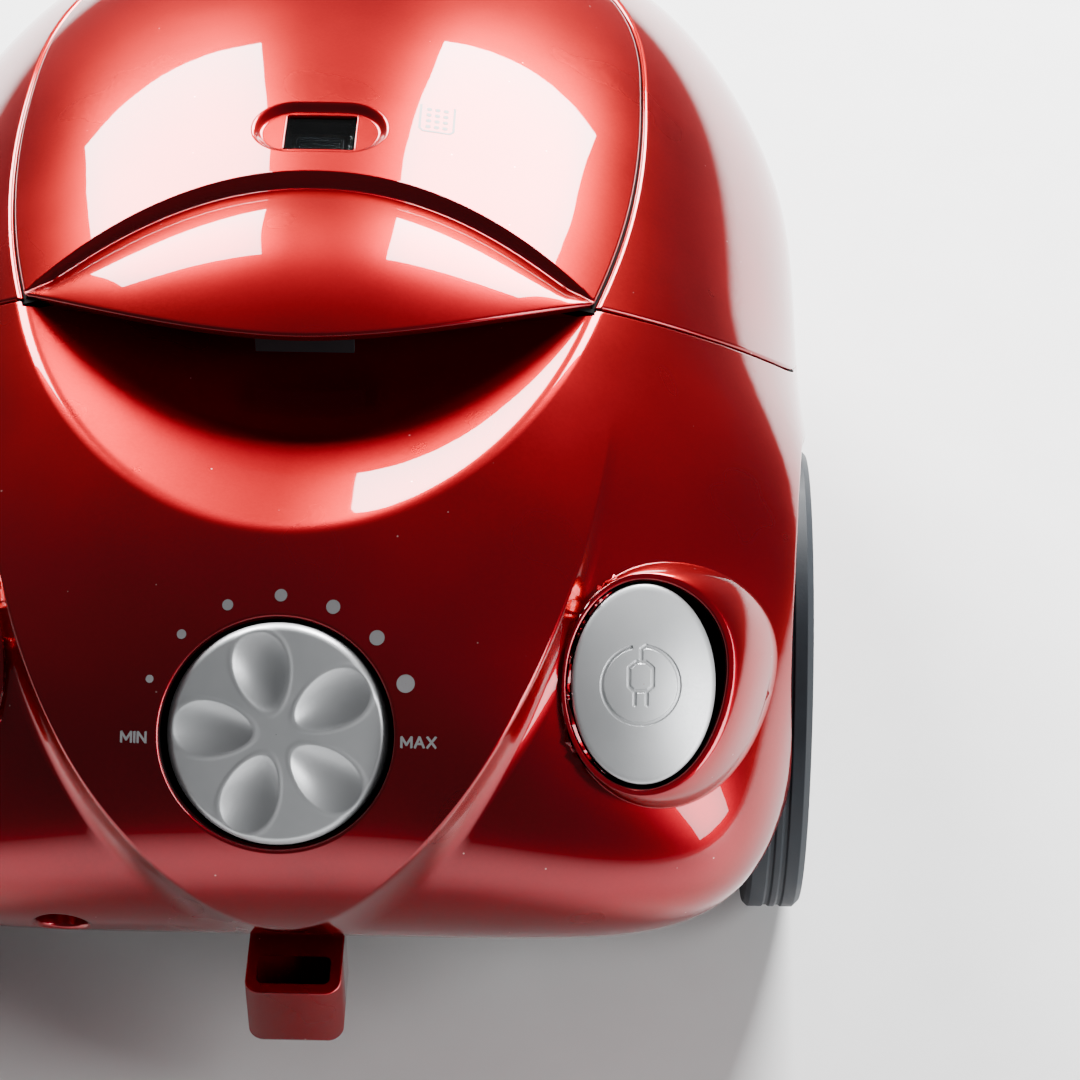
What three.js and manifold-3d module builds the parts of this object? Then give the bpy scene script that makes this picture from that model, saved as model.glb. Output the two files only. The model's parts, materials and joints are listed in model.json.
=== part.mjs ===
// Canister vacuum cleaner: every piece a separate closed mesh, in millimetres.
// +X is the machine's right, +Y its front (hose inlet), +Z up. The origin is on the floor below the centre.
import * as THREE from 'three';
import { mergeVertices } from 'three/addons/utils/BufferGeometryUtils.js';
import Module from 'manifold-3d';

const wasm = await Module();
wasm.setup();

// ---------------------------------------------------------------- driving dimensions
// Outer skin: an ellipsoid-like body. Its plan is boxy low down and rounder above and in front.
const SKIN = {
  centreY: -18.7, centreZ: 103.6, halfWidth: 145.3, rear: 193.3, front: 230, up: 102.5, down: 87.9,
  planTop: 2.4, planBottom: 7.5, noseTop: 2.6, noseBottom: 3.4, blendHeight: 40, blendLength: 150,
};
const WALL = 2.4;             // moulded shell thickness
const GAP = 0.4;              // gap between neighbouring mouldings
const BELLY_Z = 24;           // flat underside
const TRAY_TOP_Z = 46;        // parting line of tray and housing
const LONGITUDES = 36;        // facets round the body
const LATITUDES = 14;

// Parting line of lower and upper housing, seen from the side: z = base + rise * exp(-(y - start) / run)
const SWEEP = { base: 78, rise: 108.6, start: -61.4, run: 54 };

// Bag lid in plan
const LID = {
  rear: -90.1, rearBow: 0.0045, halfWidth: 94.9, middle: 44, taper: 12.5, taperLength: 101.5, taperPower: 2.2,
  front: 105.2, frontSlot: 111.2, frontPower: 3,
};
const HINGE = { y: 153.2, z: 161, pinRadius: 2, lugRadius: 3.6 };

// Control face: everything on it is drawn along one slanted direction through the dial's centre
const FACE = { y: -192.9, z: 148.1, slope: THREE.MathUtils.degToRad(44) };
const DIAL = { radius: 29.5, recess: 31.2, depth: 9, rim: 2, crown: 5, shaft: 3 };
const SHIELD = { halfWidth: 88, top: 90, drop: 146, power: 1.62, lift: 8, draft: 4 };
const SCOOP = { halfWidth: 90, height: 107, centre: 161.7, depth: 48, top: 150 };
const BUTTON = {
  u: 97, v: 14.5, across: 19.5, along: 26.8, gap: 1.2, rim: 1.6, slopeU: 0.26, slopeV: 0.2, w: -14.5,
};
const BOSS = { u: 104.3, v: 14, across: 29, along: 32.7, depth: 24, floor: 3 };

const WHEEL = { y: -92.8, z: 69, radius: 69, inner: 129, outer: 145.5, discRadius: 60, axle: 4, arch: 3.5 };
const CASTER = { y: 60, radius: 13.5, trail: 9, cup: 28, plateZ: 29, stem: 4.5, bore: 2.8,
  shoulder: 11.7, half: 7.4, edge: 5.6,
};
const INLET = { z: 118, face: 217.8, flange: 34, tube: 24, bore: 19.5, inner: 114 };
const TUB = {
  y0: -22.8, y1: 131.2, bottomZ: 58, topZ: 164, halfTop: 88, halfBottom: 74, wall: 2, corner: 42,
};
const MOTOR = {
  x: -34, z: 98, fanFront: -35.8, fanBack: -63.8, fanRadius: 54, radius: 38, back: -139.8, shaft: 4,
};
const REEL = { x0: 48, x1: 92, y: -89.8, z: 101, radius: 56, core: 26, flange: 2.4, spindle: 4 };
const BRAKE = {
  pivotY: -154, pivotZ: 108, x0: 94.4, x1: 99, rollerY: 3.4, rollerZ: -19.4, rollerRadius: 5.5,
};

// ---------------------------------------------------------------- finishes
const FINISH = {
  red: { color: 0xb8101c, roughness: 0.22, metalness: 0.35 },
  grey: { color: 0x3a3d42, roughness: 0.6, metalness: 0 },
  slate: { color: 0x525b64, roughness: 0.5, metalness: 0 },
  silver: { color: 0xc9ccce, roughness: 0.38, metalness: 0.6 },
  clear: { color: 0xd8e2e6, roughness: 0.1, metalness: 0, transparent: true, opacity: 0.4 },
  rubber: { color: 0x1d1e20, roughness: 0.85, metalness: 0 },
  steel: { color: 0xa9adb0, roughness: 0.35, metalness: 1 },
  copper: { color: 0xb06b3a, roughness: 0.4, metalness: 1 },
  cream: { color: 0xe6dfcf, roughness: 0.9, metalness: 0 },
  card: { color: 0xc8a878, roughness: 0.9, metalness: 0 },
  foam: { color: 0x6c7f96, roughness: 1, metalness: 0 },
  white: { color: 0xe9eae8, roughness: 0.6, metalness: 0 },
  board: { color: 0x2f6a3c, roughness: 0.6, metalness: 0 },
  orange: { color: 0xe0702a, roughness: 0.5, metalness: 0 },
};

// ---------------------------------------------------------------- solids
function toSolid(geometry) {
  const bare = geometry.index ? geometry.toNonIndexed() : geometry.clone();
  for (const name of Object.keys(bare.attributes)) if (name !== 'position') bare.deleteAttribute(name);
  const merged = mergeVertices(bare, 1e-4);
  const place = merged.attributes.position;
  const source = merged.index.array;
  const corner = (i) => new THREE.Vector3().fromBufferAttribute(place, i);
  const kept = [];
  let volume = 0;
  for (let i = 0; i < source.length; i += 3) {
    const [a, b, c] = [source[i], source[i + 1], source[i + 2]];
    if (a === b || b === c || a === c) continue;
    kept.push(a, b, c);
    volume += corner(a).dot(corner(b).cross(corner(c)));
  }
  if (volume < 0) for (let i = 0; i < kept.length; i += 3) [kept[i], kept[i + 1]] = [kept[i + 1], kept[i]];
  const mesh = new wasm.Mesh({
    numProp: 3, vertProperties: new Float32Array(place.array), triVerts: new Uint32Array(kept),
  });
  return new wasm.Manifold(mesh);
}

function toGeometry(solid) {
  const mesh = solid.getMesh();
  const geometry = new THREE.BufferGeometry();
  geometry.setAttribute('position', new THREE.BufferAttribute(new Float32Array(mesh.vertProperties), 3));
  geometry.setIndex(new THREE.BufferAttribute(new Uint32Array(mesh.triVerts), 1));
  geometry.computeVertexNormals();
  return geometry;
}

const join = (first, ...rest) => rest.reduce((sum, next) => sum.add(next), first);
const cut = (first, ...rest) => rest.reduce((sum, next) => sum.subtract(next), first);
const turned = (geometry, ...axes) => geometry.applyMatrix4(new THREE.Matrix4().makeBasis(...axes));
const [X_AXIS, Y_AXIS, Z_AXIS] = [[1, 0, 0], [0, 1, 0], [0, 0, 1]].map((v) => new THREE.Vector3(...v));

function box(x0, x1, y0, y1, z0, z1) {
  const geometry = new THREE.BoxGeometry(x1 - x0, y1 - y0, z1 - z0);
  return toSolid(geometry.translate((x0 + x1) / 2, (y0 + y1) / 2, (z0 + z1) / 2));
}

// Prisms of a closed outline: along X the outline is [y, z], along Z it is [x, y], along Y it is [z, x].
function prism(axis, outline, from, to) {
  const shape = new THREE.Shape(outline.map(([a, b]) => new THREE.Vector2(a, b)));
  const geometry = new THREE.ExtrudeGeometry(shape, { depth: to - from, bevelEnabled: false });
  geometry.translate(0, 0, from);
  if (axis === 'x') turned(geometry, Y_AXIS, Z_AXIS, X_AXIS);
  if (axis === 'y') turned(geometry, Z_AXIS, X_AXIS, Y_AXIS);
  return toSolid(geometry);
}

// Solid of revolution about a line along the axis; the profile is [radius, distance along the axis].
function spun(axis, profile, segments, x = 0, y = 0, z = 0) {
  const points = profile.map(([r, h]) => new THREE.Vector2(r, h));
  if (profile.every(([r]) => r > 0)) points.push(points[0].clone());
  const geometry = new THREE.LatheGeometry(points, segments);
  if (axis === 'x') turned(geometry, Y_AXIS, X_AXIS, Z_AXIS);
  if (axis === 'z') turned(geometry, X_AXIS, Z_AXIS, Y_AXIS);
  return toSolid(geometry.translate(x, y, z));
}

const rod = (axis, r, from, to, x = 0, y = 0, z = 0, segments = 20) =>
  spun(axis, [[0, from], [r, from], [r, to], [0, to]], segments, x, y, z);
const ring = (axis, r0, r1, from, to, x = 0, y = 0, z = 0, segments = 20) =>
  spun(axis, [[r0, from], [r1, from], [r1, to], [r0, to]], segments, x, y, z);

// Closed block between two equal grids of points.
function gridBlock(top, bottom) {
  const rows = top.length;
  const columns = top[0].length;
  const place = [...top.flat(), ...bottom.flat()].flatMap((p) => [p.x, p.y, p.z]);
  const at = (layer, i, j) => layer * rows * columns + i * columns + j;
  const faces = [];
  const quad = (a, b, c, d) => faces.push(a, b, c, a, c, d);
  for (let i = 0; i + 1 < rows; i++) {
    for (let j = 0; j + 1 < columns; j++) {
      quad(at(0, i, j), at(0, i, j + 1), at(0, i + 1, j + 1), at(0, i + 1, j));
      quad(at(1, i, j), at(1, i + 1, j), at(1, i + 1, j + 1), at(1, i, j + 1));
    }
    quad(at(0, i, 0), at(0, i + 1, 0), at(1, i + 1, 0), at(1, i, 0));
    quad(at(0, i + 1, columns - 1), at(0, i, columns - 1), at(1, i, columns - 1), at(1, i + 1, columns - 1));
  }
  for (let j = 0; j + 1 < columns; j++) {
    quad(at(0, 0, j + 1), at(0, 0, j), at(1, 0, j), at(1, 0, j + 1));
    quad(at(0, rows - 1, j), at(0, rows - 1, j + 1), at(1, rows - 1, j + 1), at(1, rows - 1, j));
  }
  const geometry = new THREE.BufferGeometry();
  geometry.setAttribute('position', new THREE.Float32BufferAttribute(place, 3));
  geometry.setIndex(faces);
  return toSolid(geometry);
}

const steps = (count) => Array.from({ length: count + 1 }, (unused, i) => i / count);
const ellipse = (a, b, count, du = 0, dv = 0) => Array.from({ length: count }, (unused, i) => {
  const turn = (2 * Math.PI * i) / count;
  return [du + a * Math.cos(turn), dv + b * Math.sin(turn)];
});

// ---------------------------------------------------------------- outer skin
function planExponent(y, z) {
  const high = 0.5 + 0.5 * Math.tanh(z / SKIN.blendHeight);
  const ahead = THREE.MathUtils.smoothstep(y, 0, SKIN.blendLength);
  const body = SKIN.planBottom + (SKIN.planTop - SKIN.planBottom) * high;
  const nose = SKIN.noseBottom + (SKIN.noseTop - SKIN.noseBottom) * high;
  return body * (1 - ahead) + nose * ahead;
}

// Zero on the skin, negative inside.
function skinLevel(point) {
  const y = point.y - SKIN.centreY;
  const z = point.z - SKIN.centreZ;
  const p = planExponent(y, z);
  const plan = Math.abs(point.x / SKIN.halfWidth) ** p + Math.abs(y / (y < 0 ? SKIN.rear : SKIN.front)) ** p;
  return plan ** (2 / p) + (z / (z > 0 ? SKIN.up : SKIN.down)) ** 2 - 1;
}

// First crossing of the skin on the way from an outer to an inner point.
function crossing(outer, inner) {
  let [low, high] = [0, 1];
  const point = new THREE.Vector3();
  for (let i = 0; i < 40; i++) {
    const middle = (low + high) / 2;
    if (skinLevel(point.lerpVectors(outer, inner, middle)) > 0) low = middle;
    else high = middle;
  }
  return point.lerpVectors(outer, inner, high);
}

function skinNormal(point) {
  const normal = new THREE.Vector3();
  for (const axis of ['x', 'y', 'z']) {
    const ahead = point.clone();
    const behind = point.clone();
    ahead[axis] += 0.2;
    behind[axis] -= 0.2;
    normal[axis] = skinLevel(ahead) - skinLevel(behind);
  }
  return normal.normalize();
}

// The skin moved inwards along its normals, as a solid.
function skinSolid(inset) {
  const centre = new THREE.Vector3(0, SKIN.centreY, SKIN.centreZ);
  const place = [];
  for (let i = 0; i <= LATITUDES; i++) {
    const rise = Math.PI * (i / LATITUDES - 0.5);
    for (let j = 0; j < LONGITUDES; j++) {
      const turn = (2 * Math.PI * (j + 0.5)) / LONGITUDES;
      const way = new THREE.Vector3(
        SKIN.halfWidth * Math.cos(turn) * Math.cos(rise),
        (j < LONGITUDES / 2 ? SKIN.front : SKIN.rear) * Math.sin(turn) * Math.cos(rise),
        (rise > 0 ? SKIN.up : SKIN.down) * Math.sin(rise));
      const point = crossing(centre.clone().addScaledVector(way, 1.6), centre);
      point.addScaledVector(skinNormal(point), -inset);
      if (i === 0 || i === LATITUDES) point.set(0, SKIN.centreY, point.z);
      place.push(point.x, point.y, point.z);
    }
  }
  const faces = [];
  for (let i = 0; i < LATITUDES; i++) {
    for (let j = 0; j < LONGITUDES; j++) {
      const [a, b] = [i * LONGITUDES + j, i * LONGITUDES + ((j + 1) % LONGITUDES)];
      faces.push(a, b, b + LONGITUDES, a, b + LONGITUDES, a + LONGITUDES);
    }
  }
  const geometry = new THREE.BufferGeometry();
  geometry.setAttribute('position', new THREE.Float32BufferAttribute(place, 3));
  geometry.setIndex(faces);
  return toSolid(geometry);
}

// ---------------------------------------------------------------- control face frame
const UP_FACE = new THREE.Vector3(0, Math.sin(FACE.slope), Math.cos(FACE.slope));
const OUT_FACE = new THREE.Vector3(0, -Math.cos(FACE.slope), Math.sin(FACE.slope));
const onFace = (u, v, w) => new THREE.Vector3(u, FACE.y, FACE.z)
  .addScaledVector(UP_FACE, v).addScaledVector(OUT_FACE, w);
const skinOnFace = (u, v) => crossing(onFace(u, v, 60), onFace(u, v, -140));

// A geometry drawn in (u, v, w) moved on to the control face.
function faced(geometry) {
  turned(geometry, X_AXIS, UP_FACE, OUT_FACE);
  return toSolid(geometry.translate(0, FACE.y, FACE.z));
}

function facePrism(outline, from, to) {
  const shape = new THREE.Shape(outline.map(([u, v]) => new THREE.Vector2(u, v)));
  const geometry = new THREE.ExtrudeGeometry(shape, { depth: to - from, bevelEnabled: false });
  return faced(geometry.translate(0, 0, from));
}

const faceRod = (r, from, to, u = 0, v = 0, segments = 32) => facePrism(
  ellipse(r, r, segments, u, v), from, to,
);

// Block over rows of the face; half(v) is its half width, floor and roof give points at (u, v).
function faceBlock(v0, v1, rowCount, columnCount, half, roof, floor) {
  const rows = steps(rowCount).map((t) => v0 + (v1 - v0) * t ** 1.5);
  const grid = (place) => rows.map((v) => steps(columnCount).map((s) => place((2 * s - 1) * half(v), v)));
  return gridBlock(grid(roof), grid(floor));
}

// ---------------------------------------------------------------- parting line and lid outline
const sweepHeight = (y) => SWEEP.base + SWEEP.rise * Math.exp(-(y - SWEEP.start) / SWEEP.run);

// The parting curve moved sideways; positive is up and forward.
function sweepCurve(shift) {
  return steps(20).map((t) => -104 + 350 * t ** 1.6).map((y) => {
    const slope = (sweepHeight(y + 0.5) - sweepHeight(y - 0.5));
    const length = Math.hypot(1, slope);
    return [y - (slope / length) * shift, sweepHeight(y) + shift / length];
  });
}

const belowSweep = (shift) => prism(
  'x', [...sweepCurve(shift), [260, -20], [-260, -20], [-260, 340]], -200, 200,
);
const aboveSweep = (shift) => prism('x', [...sweepCurve(shift), [260, 380], [-90, 380]], -200, 200);

// Half of the lid's plan from the rear middle to the front middle.
function lidHalf(margin, front) {
  const corner = LID.halfWidth - LID.taper * (104.4 / LID.taperLength) ** LID.taperPower;
  const rear = steps(5).slice(0, -1).map(
    (t) => [corner * t, LID.rear + LID.rearBow * (corner * t) ** 2 - margin],
  );
  const side = steps(5).slice(0, -1).map((t) => {
    const y = LID.middle - 104.4 * (1 - t);
    return [LID.halfWidth - LID.taper * ((LID.middle - y) / LID.taperLength) ** LID.taperPower + margin, y];
  });
  const nose = steps(8).map((t) => {
    const turn = (t * Math.PI) / 2;
    const power = 2 / LID.frontPower;
    return [(LID.halfWidth + margin) * Math.cos(turn) ** power, LID.middle + front * Math.sin(turn) ** power];
  });
  nose[nose.length - 1][0] = 0;
  return [...rear, ...side, ...nose];
}

function lidPrism(margin, front, lowZ) {
  const half = lidHalf(margin, front);
  const mirrored = half.slice(1, -1).reverse().map(([x, y]) => [-x, y]);
  return prism('z', [...half, ...mirrored], lowZ, 260);
}

const outer = skinSolid(0);
const inner = skinSolid(WALL);
const cavity = skinSolid(WALL + 0.6);
const shell = cut(outer, inner);

// ---------------------------------------------------------------- features shared by housing and tray
const archSide = (side, r, from, to) => rod('x', r, Math.min(side * from, side * to),
  Math.max(side * from, side * to), 0, WHEEL.y, WHEEL.z, 24);

function withArches(body, zLow, zHigh) {
  const band = box(-160, 160, -220, 40, zLow, zHigh);
  let result = body;
  for (const side of [-1, 1]) {
    const pocket = archSide(side, WHEEL.radius + WHEEL.arch, WHEEL.inner - 2.6, 170);
    const wall = archSide(side, WHEEL.radius + WHEEL.arch + WALL, WHEEL.inner - 5, 168);
    result = cut(join(result, wall.intersect(outer).intersect(band)), pocket);
  }
  return result;
}

// ---------------------------------------------------------------- lower housing
const shieldHalf = (v, grow = 0) => Math.max(2, (SHIELD.halfWidth + grow)
  * Math.max(
    0, 1 - Math.min(1, (SHIELD.top - v) / (SHIELD.drop + grow)) ** SHIELD.power,
  ) ** (1 / SHIELD.power));
const shieldLift = (v) => SHIELD.lift * THREE.MathUtils.smoothstep(SHIELD.top - v, 0, 120);

// Raised panel; thin makes it smaller all round, for the hollow behind it.
function shieldBlock(thin) {
  const low = SHIELD.top - SHIELD.drop + 0.4 + thin;
  const roof = (u, v) => skinOnFace(u, v).addScaledVector(OUT_FACE, shieldLift(v) - thin * 1.15 + 0.02);
  const floor = (u, v) => skinOnFace(u * (1 + SHIELD.draft / SHIELD.halfWidth), v)
    .addScaledVector(OUT_FACE, -1.4 - 2 * thin);
  return faceBlock(low, SHIELD.top - 2 * thin, 7, 6, (v) => shieldHalf(v, -thin), roof, floor);
}

const scoopHalf = (v) => SCOOP.halfWidth * Math.sqrt(
  Math.max(0, 1 - ((v - SCOOP.centre) / SCOOP.height) ** 2),
);
function scoopDepth(u, v) {
  const reach = (u / SCOOP.halfWidth) ** 2 + ((v - SCOOP.centre) / SCOOP.height) ** 2;
  return SCOOP.depth * Math.max(0, 1 - reach);
}

function scoopBlock(roofLift, floorDrop) {
  const roof = (u, v) => skinOnFace(u, v).addScaledVector(OUT_FACE, roofLift);
  const floor = (u, v) => skinOnFace(u, v).addScaledVector(OUT_FACE, -scoopDepth(u, v) - floorDrop);
  return faceBlock(SCOOP.centre - SCOOP.height + 0.5, SCOOP.top, 6, 8, scoopHalf, roof, floor);
}

// The finger scoop is open to the rear and closed in front by a wall along the parting line.
function withScoop(body) {
  const behindWall = belowSweep(-GAP - WALL);
  const air = scoopBlock(18, 0).intersect(behindWall);
  const lining = scoopBlock(-0.6, WALL).intersect(belowSweep(-GAP));
  return cut(join(body, lining), air);
}

const mirrorOutline = (outline, side) => outline.map(([u, v]) => [side * u, v]);
const buttonPlane = (u, v) => BUTTON.w
  - BUTTON.slopeU * (Math.abs(u) - BUTTON.u)
  - BUTTON.slopeV * (v - BUTTON.v);

// Ring of the button boss at a height below its slanted top, easing from the wide base to the rim.
function bossRing(side, drop) {
  const ease = Math.min(1, drop / 16);
  const rimAcross = BUTTON.across + BUTTON.gap + BUTTON.rim;
  const rimAlong = BUTTON.along + BUTTON.gap + BUTTON.rim;
  const mix = (a, b) => a + (b - a) * ease;
  return ellipse(
    mix(rimAcross, BOSS.across), mix(rimAlong, BOSS.along), 18, mix(BUTTON.u, BOSS.u),
    mix(BUTTON.v, BOSS.v),
  )
    .map(([u, v]) => onFace(side * u, v, buttonPlane(u, v) - drop));
}

// Loft of equal rings with flat ends.
function loft(rings) {
  const count = rings[0].length;
  const middle = (points) => points.reduce(
    (sum, p) => sum.add(p), new THREE.Vector3(),
  ).divideScalar(points.length);
  const place = [...rings.flat(), middle(rings[0]), middle(rings[rings.length - 1])];
  const faces = [];
  for (let j = 0; j < count; j++) {
    const k = (j + 1) % count;
    for (let i = 0; i + 1 < rings.length; i++) {
      const [a, b, c, d] = [i * count + j, i * count + k, (i + 1) * count + k, (i + 1) * count + j];
      faces.push(a, b, c, a, c, d);
    }
    faces.push(rings.length * count, k, j);
    faces.push(rings.length * count + 1, (rings.length - 1) * count + j, (rings.length - 1) * count + k);
  }
  const geometry = new THREE.BufferGeometry();
  geometry.setAttribute(
    'position', new THREE.Float32BufferAttribute(place.flatMap((p) => [p.x, p.y, p.z]), 3),
  );
  geometry.setIndex(faces);
  return toSolid(geometry);
}

function withButtonBosses(body) {
  const [across, along] = [BUTTON.across + BUTTON.gap, BUTTON.along + BUTTON.gap];
  let result = body;
  for (const side of [-1, 1]) {
    const boss = loft([0, 8, BOSS.depth].map((drop) => bossRing(side, drop)));
    const well = loft([
      -30, BOSS.depth - BOSS.floor,
    ].map((drop) => ellipse(across, along, 18, BUTTON.u, BUTTON.v)
      .map(([u, v]) => onFace(side * u, v, buttonPlane(u, v) - drop))));
    result = cut(join(result, boss), well, faceRod(4.4, -80, 0, side * BUTTON.u, BUTTON.v, 10));
  }
  return result;
}

function withDialRecess(body) {
  const bottom = -DIAL.depth;
  const cup = faceRod(DIAL.recess + WALL, bottom - WALL, -1, 0, 0, 22);
  const recess = faceRod(DIAL.recess, bottom, 30, 0, 0, 22);
  const hole = faceRod(DIAL.shaft + 0.4, bottom - 10, 5, 0, 0, 12);
  return cut(join(body, cup), recess, hole);
}

function lowerHousing() {
  const hollow = shieldBlock(WALL);
  let body = cut(join(shell, shieldBlock(0)), hollow);
  body = withArches(body, TRAY_TOP_Z, 160);
  body = withScoop(body.intersect(belowSweep(-GAP)));
  body = withButtonBosses(body);
  body = withDialRecess(body);
  for (const side of [-1, 1]) {
    const collar = ring(
      'x', WHEEL.axle + 0.3, 9, side > 0 ? 116 : -125, side > 0 ? 125 : -116, 0, WHEEL.y, WHEEL.z, 20,
    );
    body = cut(join(body, collar), rod('x', WHEEL.axle + 0.3, -128, 128, 0, WHEEL.y, WHEEL.z, 20));
  }
  const lidRoom = cut(lidPrism(0.6, LID.frontSlot, 120), skinSolid(WALL + GAP + 0.1));
  body = cut(
    body, box(-200, 200, -260, 260, -10, TRAY_TOP_Z + GAP), lidRoom, bracketBlock(0.3),
    ...ventHoles(0.4),
  );
  return cut(body, cordHole());
}

// ---------------------------------------------------------------- side vents
const VENT = {
  y: 22, z: 66, length: 56, height: 22, pitch: 9, lean: 3, slotHalf: 1.5, slotZ0: 58, slotZ1: 74,
};
function ventOutline(grow) {
  const r = VENT.height / 2 + grow;
  const half = VENT.length / 2 - VENT.height / 2;
  return [1, -1].flatMap((end) => steps(4).map((t) => {
    const turn = end * Math.PI / 2 - Math.PI * t;
    return [VENT.y + end * half + r * Math.cos(turn), VENT.z + r * Math.sin(turn)];
  }));
}
const ventHoles = (grow) => [
  prism('x', ventOutline(grow), 100, 160), prism('x', ventOutline(grow), -160, -100),
];

function ventGrille(side) {
  const { y, pitch, lean, slotHalf, slotZ0, slotZ1 } = VENT;
  const [from, to] = side > 0 ? [100, 160] : [-160, -100];
  let panel = cut(skinSolid(0.5), skinSolid(0.5 + WALL)).intersect(prism('x', ventOutline(0), from, to));
  for (let i = -2; i <= 2; i++) {
    const low = y + i * pitch - lean;
    const high = y + i * pitch + lean;
    const slot = [
      [low - slotHalf, slotZ0],
      [low + slotHalf, slotZ0],
      [high + slotHalf, slotZ1],
      [high - slotHalf, slotZ1],
    ];
    panel = cut(panel, prism('x', slot, from, to));
  }
  return panel;
}

// ---------------------------------------------------------------- parking bracket and cord hole
const BRACKET = { half: 13.6, y0: -207, y1: -178, z0: 34, z1: 56, wall: 3.2, slotY: 10 };
const bracketBlock = (grow) => box(
  -BRACKET.half - grow, BRACKET.half + grow,
  BRACKET.y0 - 9, BRACKET.y1 + grow,
  BRACKET.z0 - 12, BRACKET.z1 + grow,
);

function parkingBracket() {
  const b = BRACKET;
  const block = box(-b.half, b.half, b.y0, b.y1, b.z0, b.z1);
  const slot = box(
    -b.half + b.wall, b.half - b.wall, b.y0 + b.wall, b.y0 + b.wall + b.slotY, b.z0 - 5, b.z1 + 5,
  );
  return cut(block, slot);
}

const CORD = { x: -62, z: 84, radius: 7.3, y0: -230, y1: -150 };
const cordHole = () => rod('y', CORD.radius, CORD.y0, CORD.y1, CORD.x, 0, CORD.z, 20);

// ---------------------------------------------------------------- upper housing and base tray
function upperHousing() {
  const lidRoom = lidPrism(0.6, LID.frontSlot, 120);
  let body = cut(shell.intersect(aboveSweep(GAP)), lidRoom);
  for (const side of [-1, 1]) {
    const [x0, x1] = side > 0 ? [43, 47] : [-47, -43];
    const cheek = box(x0, x1, HINGE.y - 5, HINGE.y + 10, HINGE.z - 5, HINGE.z + 4);
    const neck = box(x0, x1, HINGE.y + 1, HINGE.y + 10, HINGE.z - 1, 190).intersect(skinSolid(1.2));
    body = join(body, cheek, neck);
  }
  const lugRoom = box(-39, 39, HINGE.y - 6, HINGE.y + 4.4, HINGE.z - 6, HINGE.z + 4.4);
  body = cut(body, lugRoom, rod('x', HINGE.pinRadius + 0.3, -48, 48, 0, HINGE.y, HINGE.z, 14));
  return cut(body, rod('y', INLET.flange + 0.4, 150, 230, 0, 0, INLET.z, 32));
}

function baseTray() {
  const slab = box(-200, 200, -260, 260, BELLY_Z, TRAY_TOP_Z);
  let body = join(shell, outer.intersect(box(-200, 200, -260, 260, BELLY_Z, BELLY_Z + WALL))).intersect(slab);
  body = withArches(body, BELLY_Z, TRAY_TOP_Z).intersect(slab);
  const cup = rod('z', CASTER.cup + WALL, BELLY_Z, 35.4, 0, CASTER.y, 0, 32);
  const stem = rod('z', 8, 34, 50, 0, CASTER.y, 0, 20);
  body = cut(join(body, cup, stem), rod('z', CASTER.cup, 0, 33, 0, CASTER.y, 0, 32));
  body = cut(body, rod('z', CASTER.stem + 0.3, 0, 60, 0, CASTER.y, 0, 20));
  body = cut(body, box(-41.4, 41.4, -71.4, -30.6, 10, 40), bracketBlock(0.3));
  for (const [x, y] of SCREWS) {
    const post = rod('z', SCREW.post, 25, 44, x, y, 0, 16).intersect(outer);
    body = cut(
      join(body, post), rod('z', SCREW.shank, 0, 60, x, y, 0, 12),
      rod('z', SCREW.head, 0, 30, x, y, 0, 12),
    );
  }
  return body;
}

const SCREWS = [[-42, -84], [42, -84], [-42, 8], [42, 8]];
const SCREW = { post: 6, shank: 2.3, head: 4.4 };

// ---------------------------------------------------------------- lid group
function bagLid() {
  let body = shell.intersect(lidPrism(0, LID.front, 120));
  const skirt = cut(tubPrism(1.5, 120), tubPrism(-0.9, 120)).intersect(skinSolid(1.5))
    .intersect(box(-200, 200, -260, HINGE.y - 12, TUB.topZ + 5, 260));
  body = join(body, skirt);
  for (const side of [-1, 1]) {
    const [x0, x1] = side > 0 ? [30, 38] : [-38, -30];
    const lug = join(
      box(x0, x1, HINGE.y - 14, HINGE.y - 8, HINGE.z - 1, 190).intersect(skinSolid(1.2)),
      box(x0, x1, HINGE.y - 14, HINGE.y, HINGE.z - HINGE.lugRadius, HINGE.z + 2),
      rod('x', HINGE.lugRadius, x0, x1, 0, HINGE.y, HINGE.z, 20));
    body = cut(join(
      body,
      lug.intersect(
        lidPrism(-1, LID.front, 120).add(box(-40, 40, HINGE.y - 6, HINGE.y + 5, 150, HINGE.z + 3.7)),
      ),
    ),
      rod('x', HINGE.pinRadius + 0.3, x0 - 1, x1 + 1, 0, HINGE.y, HINGE.z, 16));
  }
  const guides = [-1, 1].map((side) => box(side * 18.8 - 1.2, side * 18.8 + 1.2, -78, -71.4, 186, 204));
  return withWindow(join(body, ...guides.map((guide) => guide.intersect(skinSolid(1.5)))));
}

// Clear window over the bag-full flag, sunk in an oblong recess of the lid
const WINDOW = { y: -3.5, halfX: 10, halfY: 8, recessX: 19.5, recessY: 11.9, sink: 2.2, pad: 2.4 };
const windowPrism = (grow, z0, z1) => box(-WINDOW.halfX - grow, WINDOW.halfX + grow,
  WINDOW.y - WINDOW.halfY - grow, WINDOW.y + WINDOW.halfY + grow, z0, z1);

function windowRecess(grow) {
  const half = WINDOW.recessX - WINDOW.recessY;
  const outline = [-1, 1].flatMap((side) => steps(8).map((t) => {
    const turn = side * (t * Math.PI - Math.PI / 2);
    return [
      side * half + side * (WINDOW.recessY + grow) * Math.cos(turn),
      WINDOW.y + (WINDOW.recessY + grow) * Math.sin(turn),
    ];
  }));
  return prism('z', outline, 180, 260);
}

function withWindow(lid) {
  const pad = windowRecess(1).intersect(cut(skinSolid(1), skinSolid(WINDOW.sink + WINDOW.pad)));
  return cut(join(lid, pad), cut(windowRecess(0), skinSolid(WINDOW.sink)), windowPrism(0.3, 180, 220));
}

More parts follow.
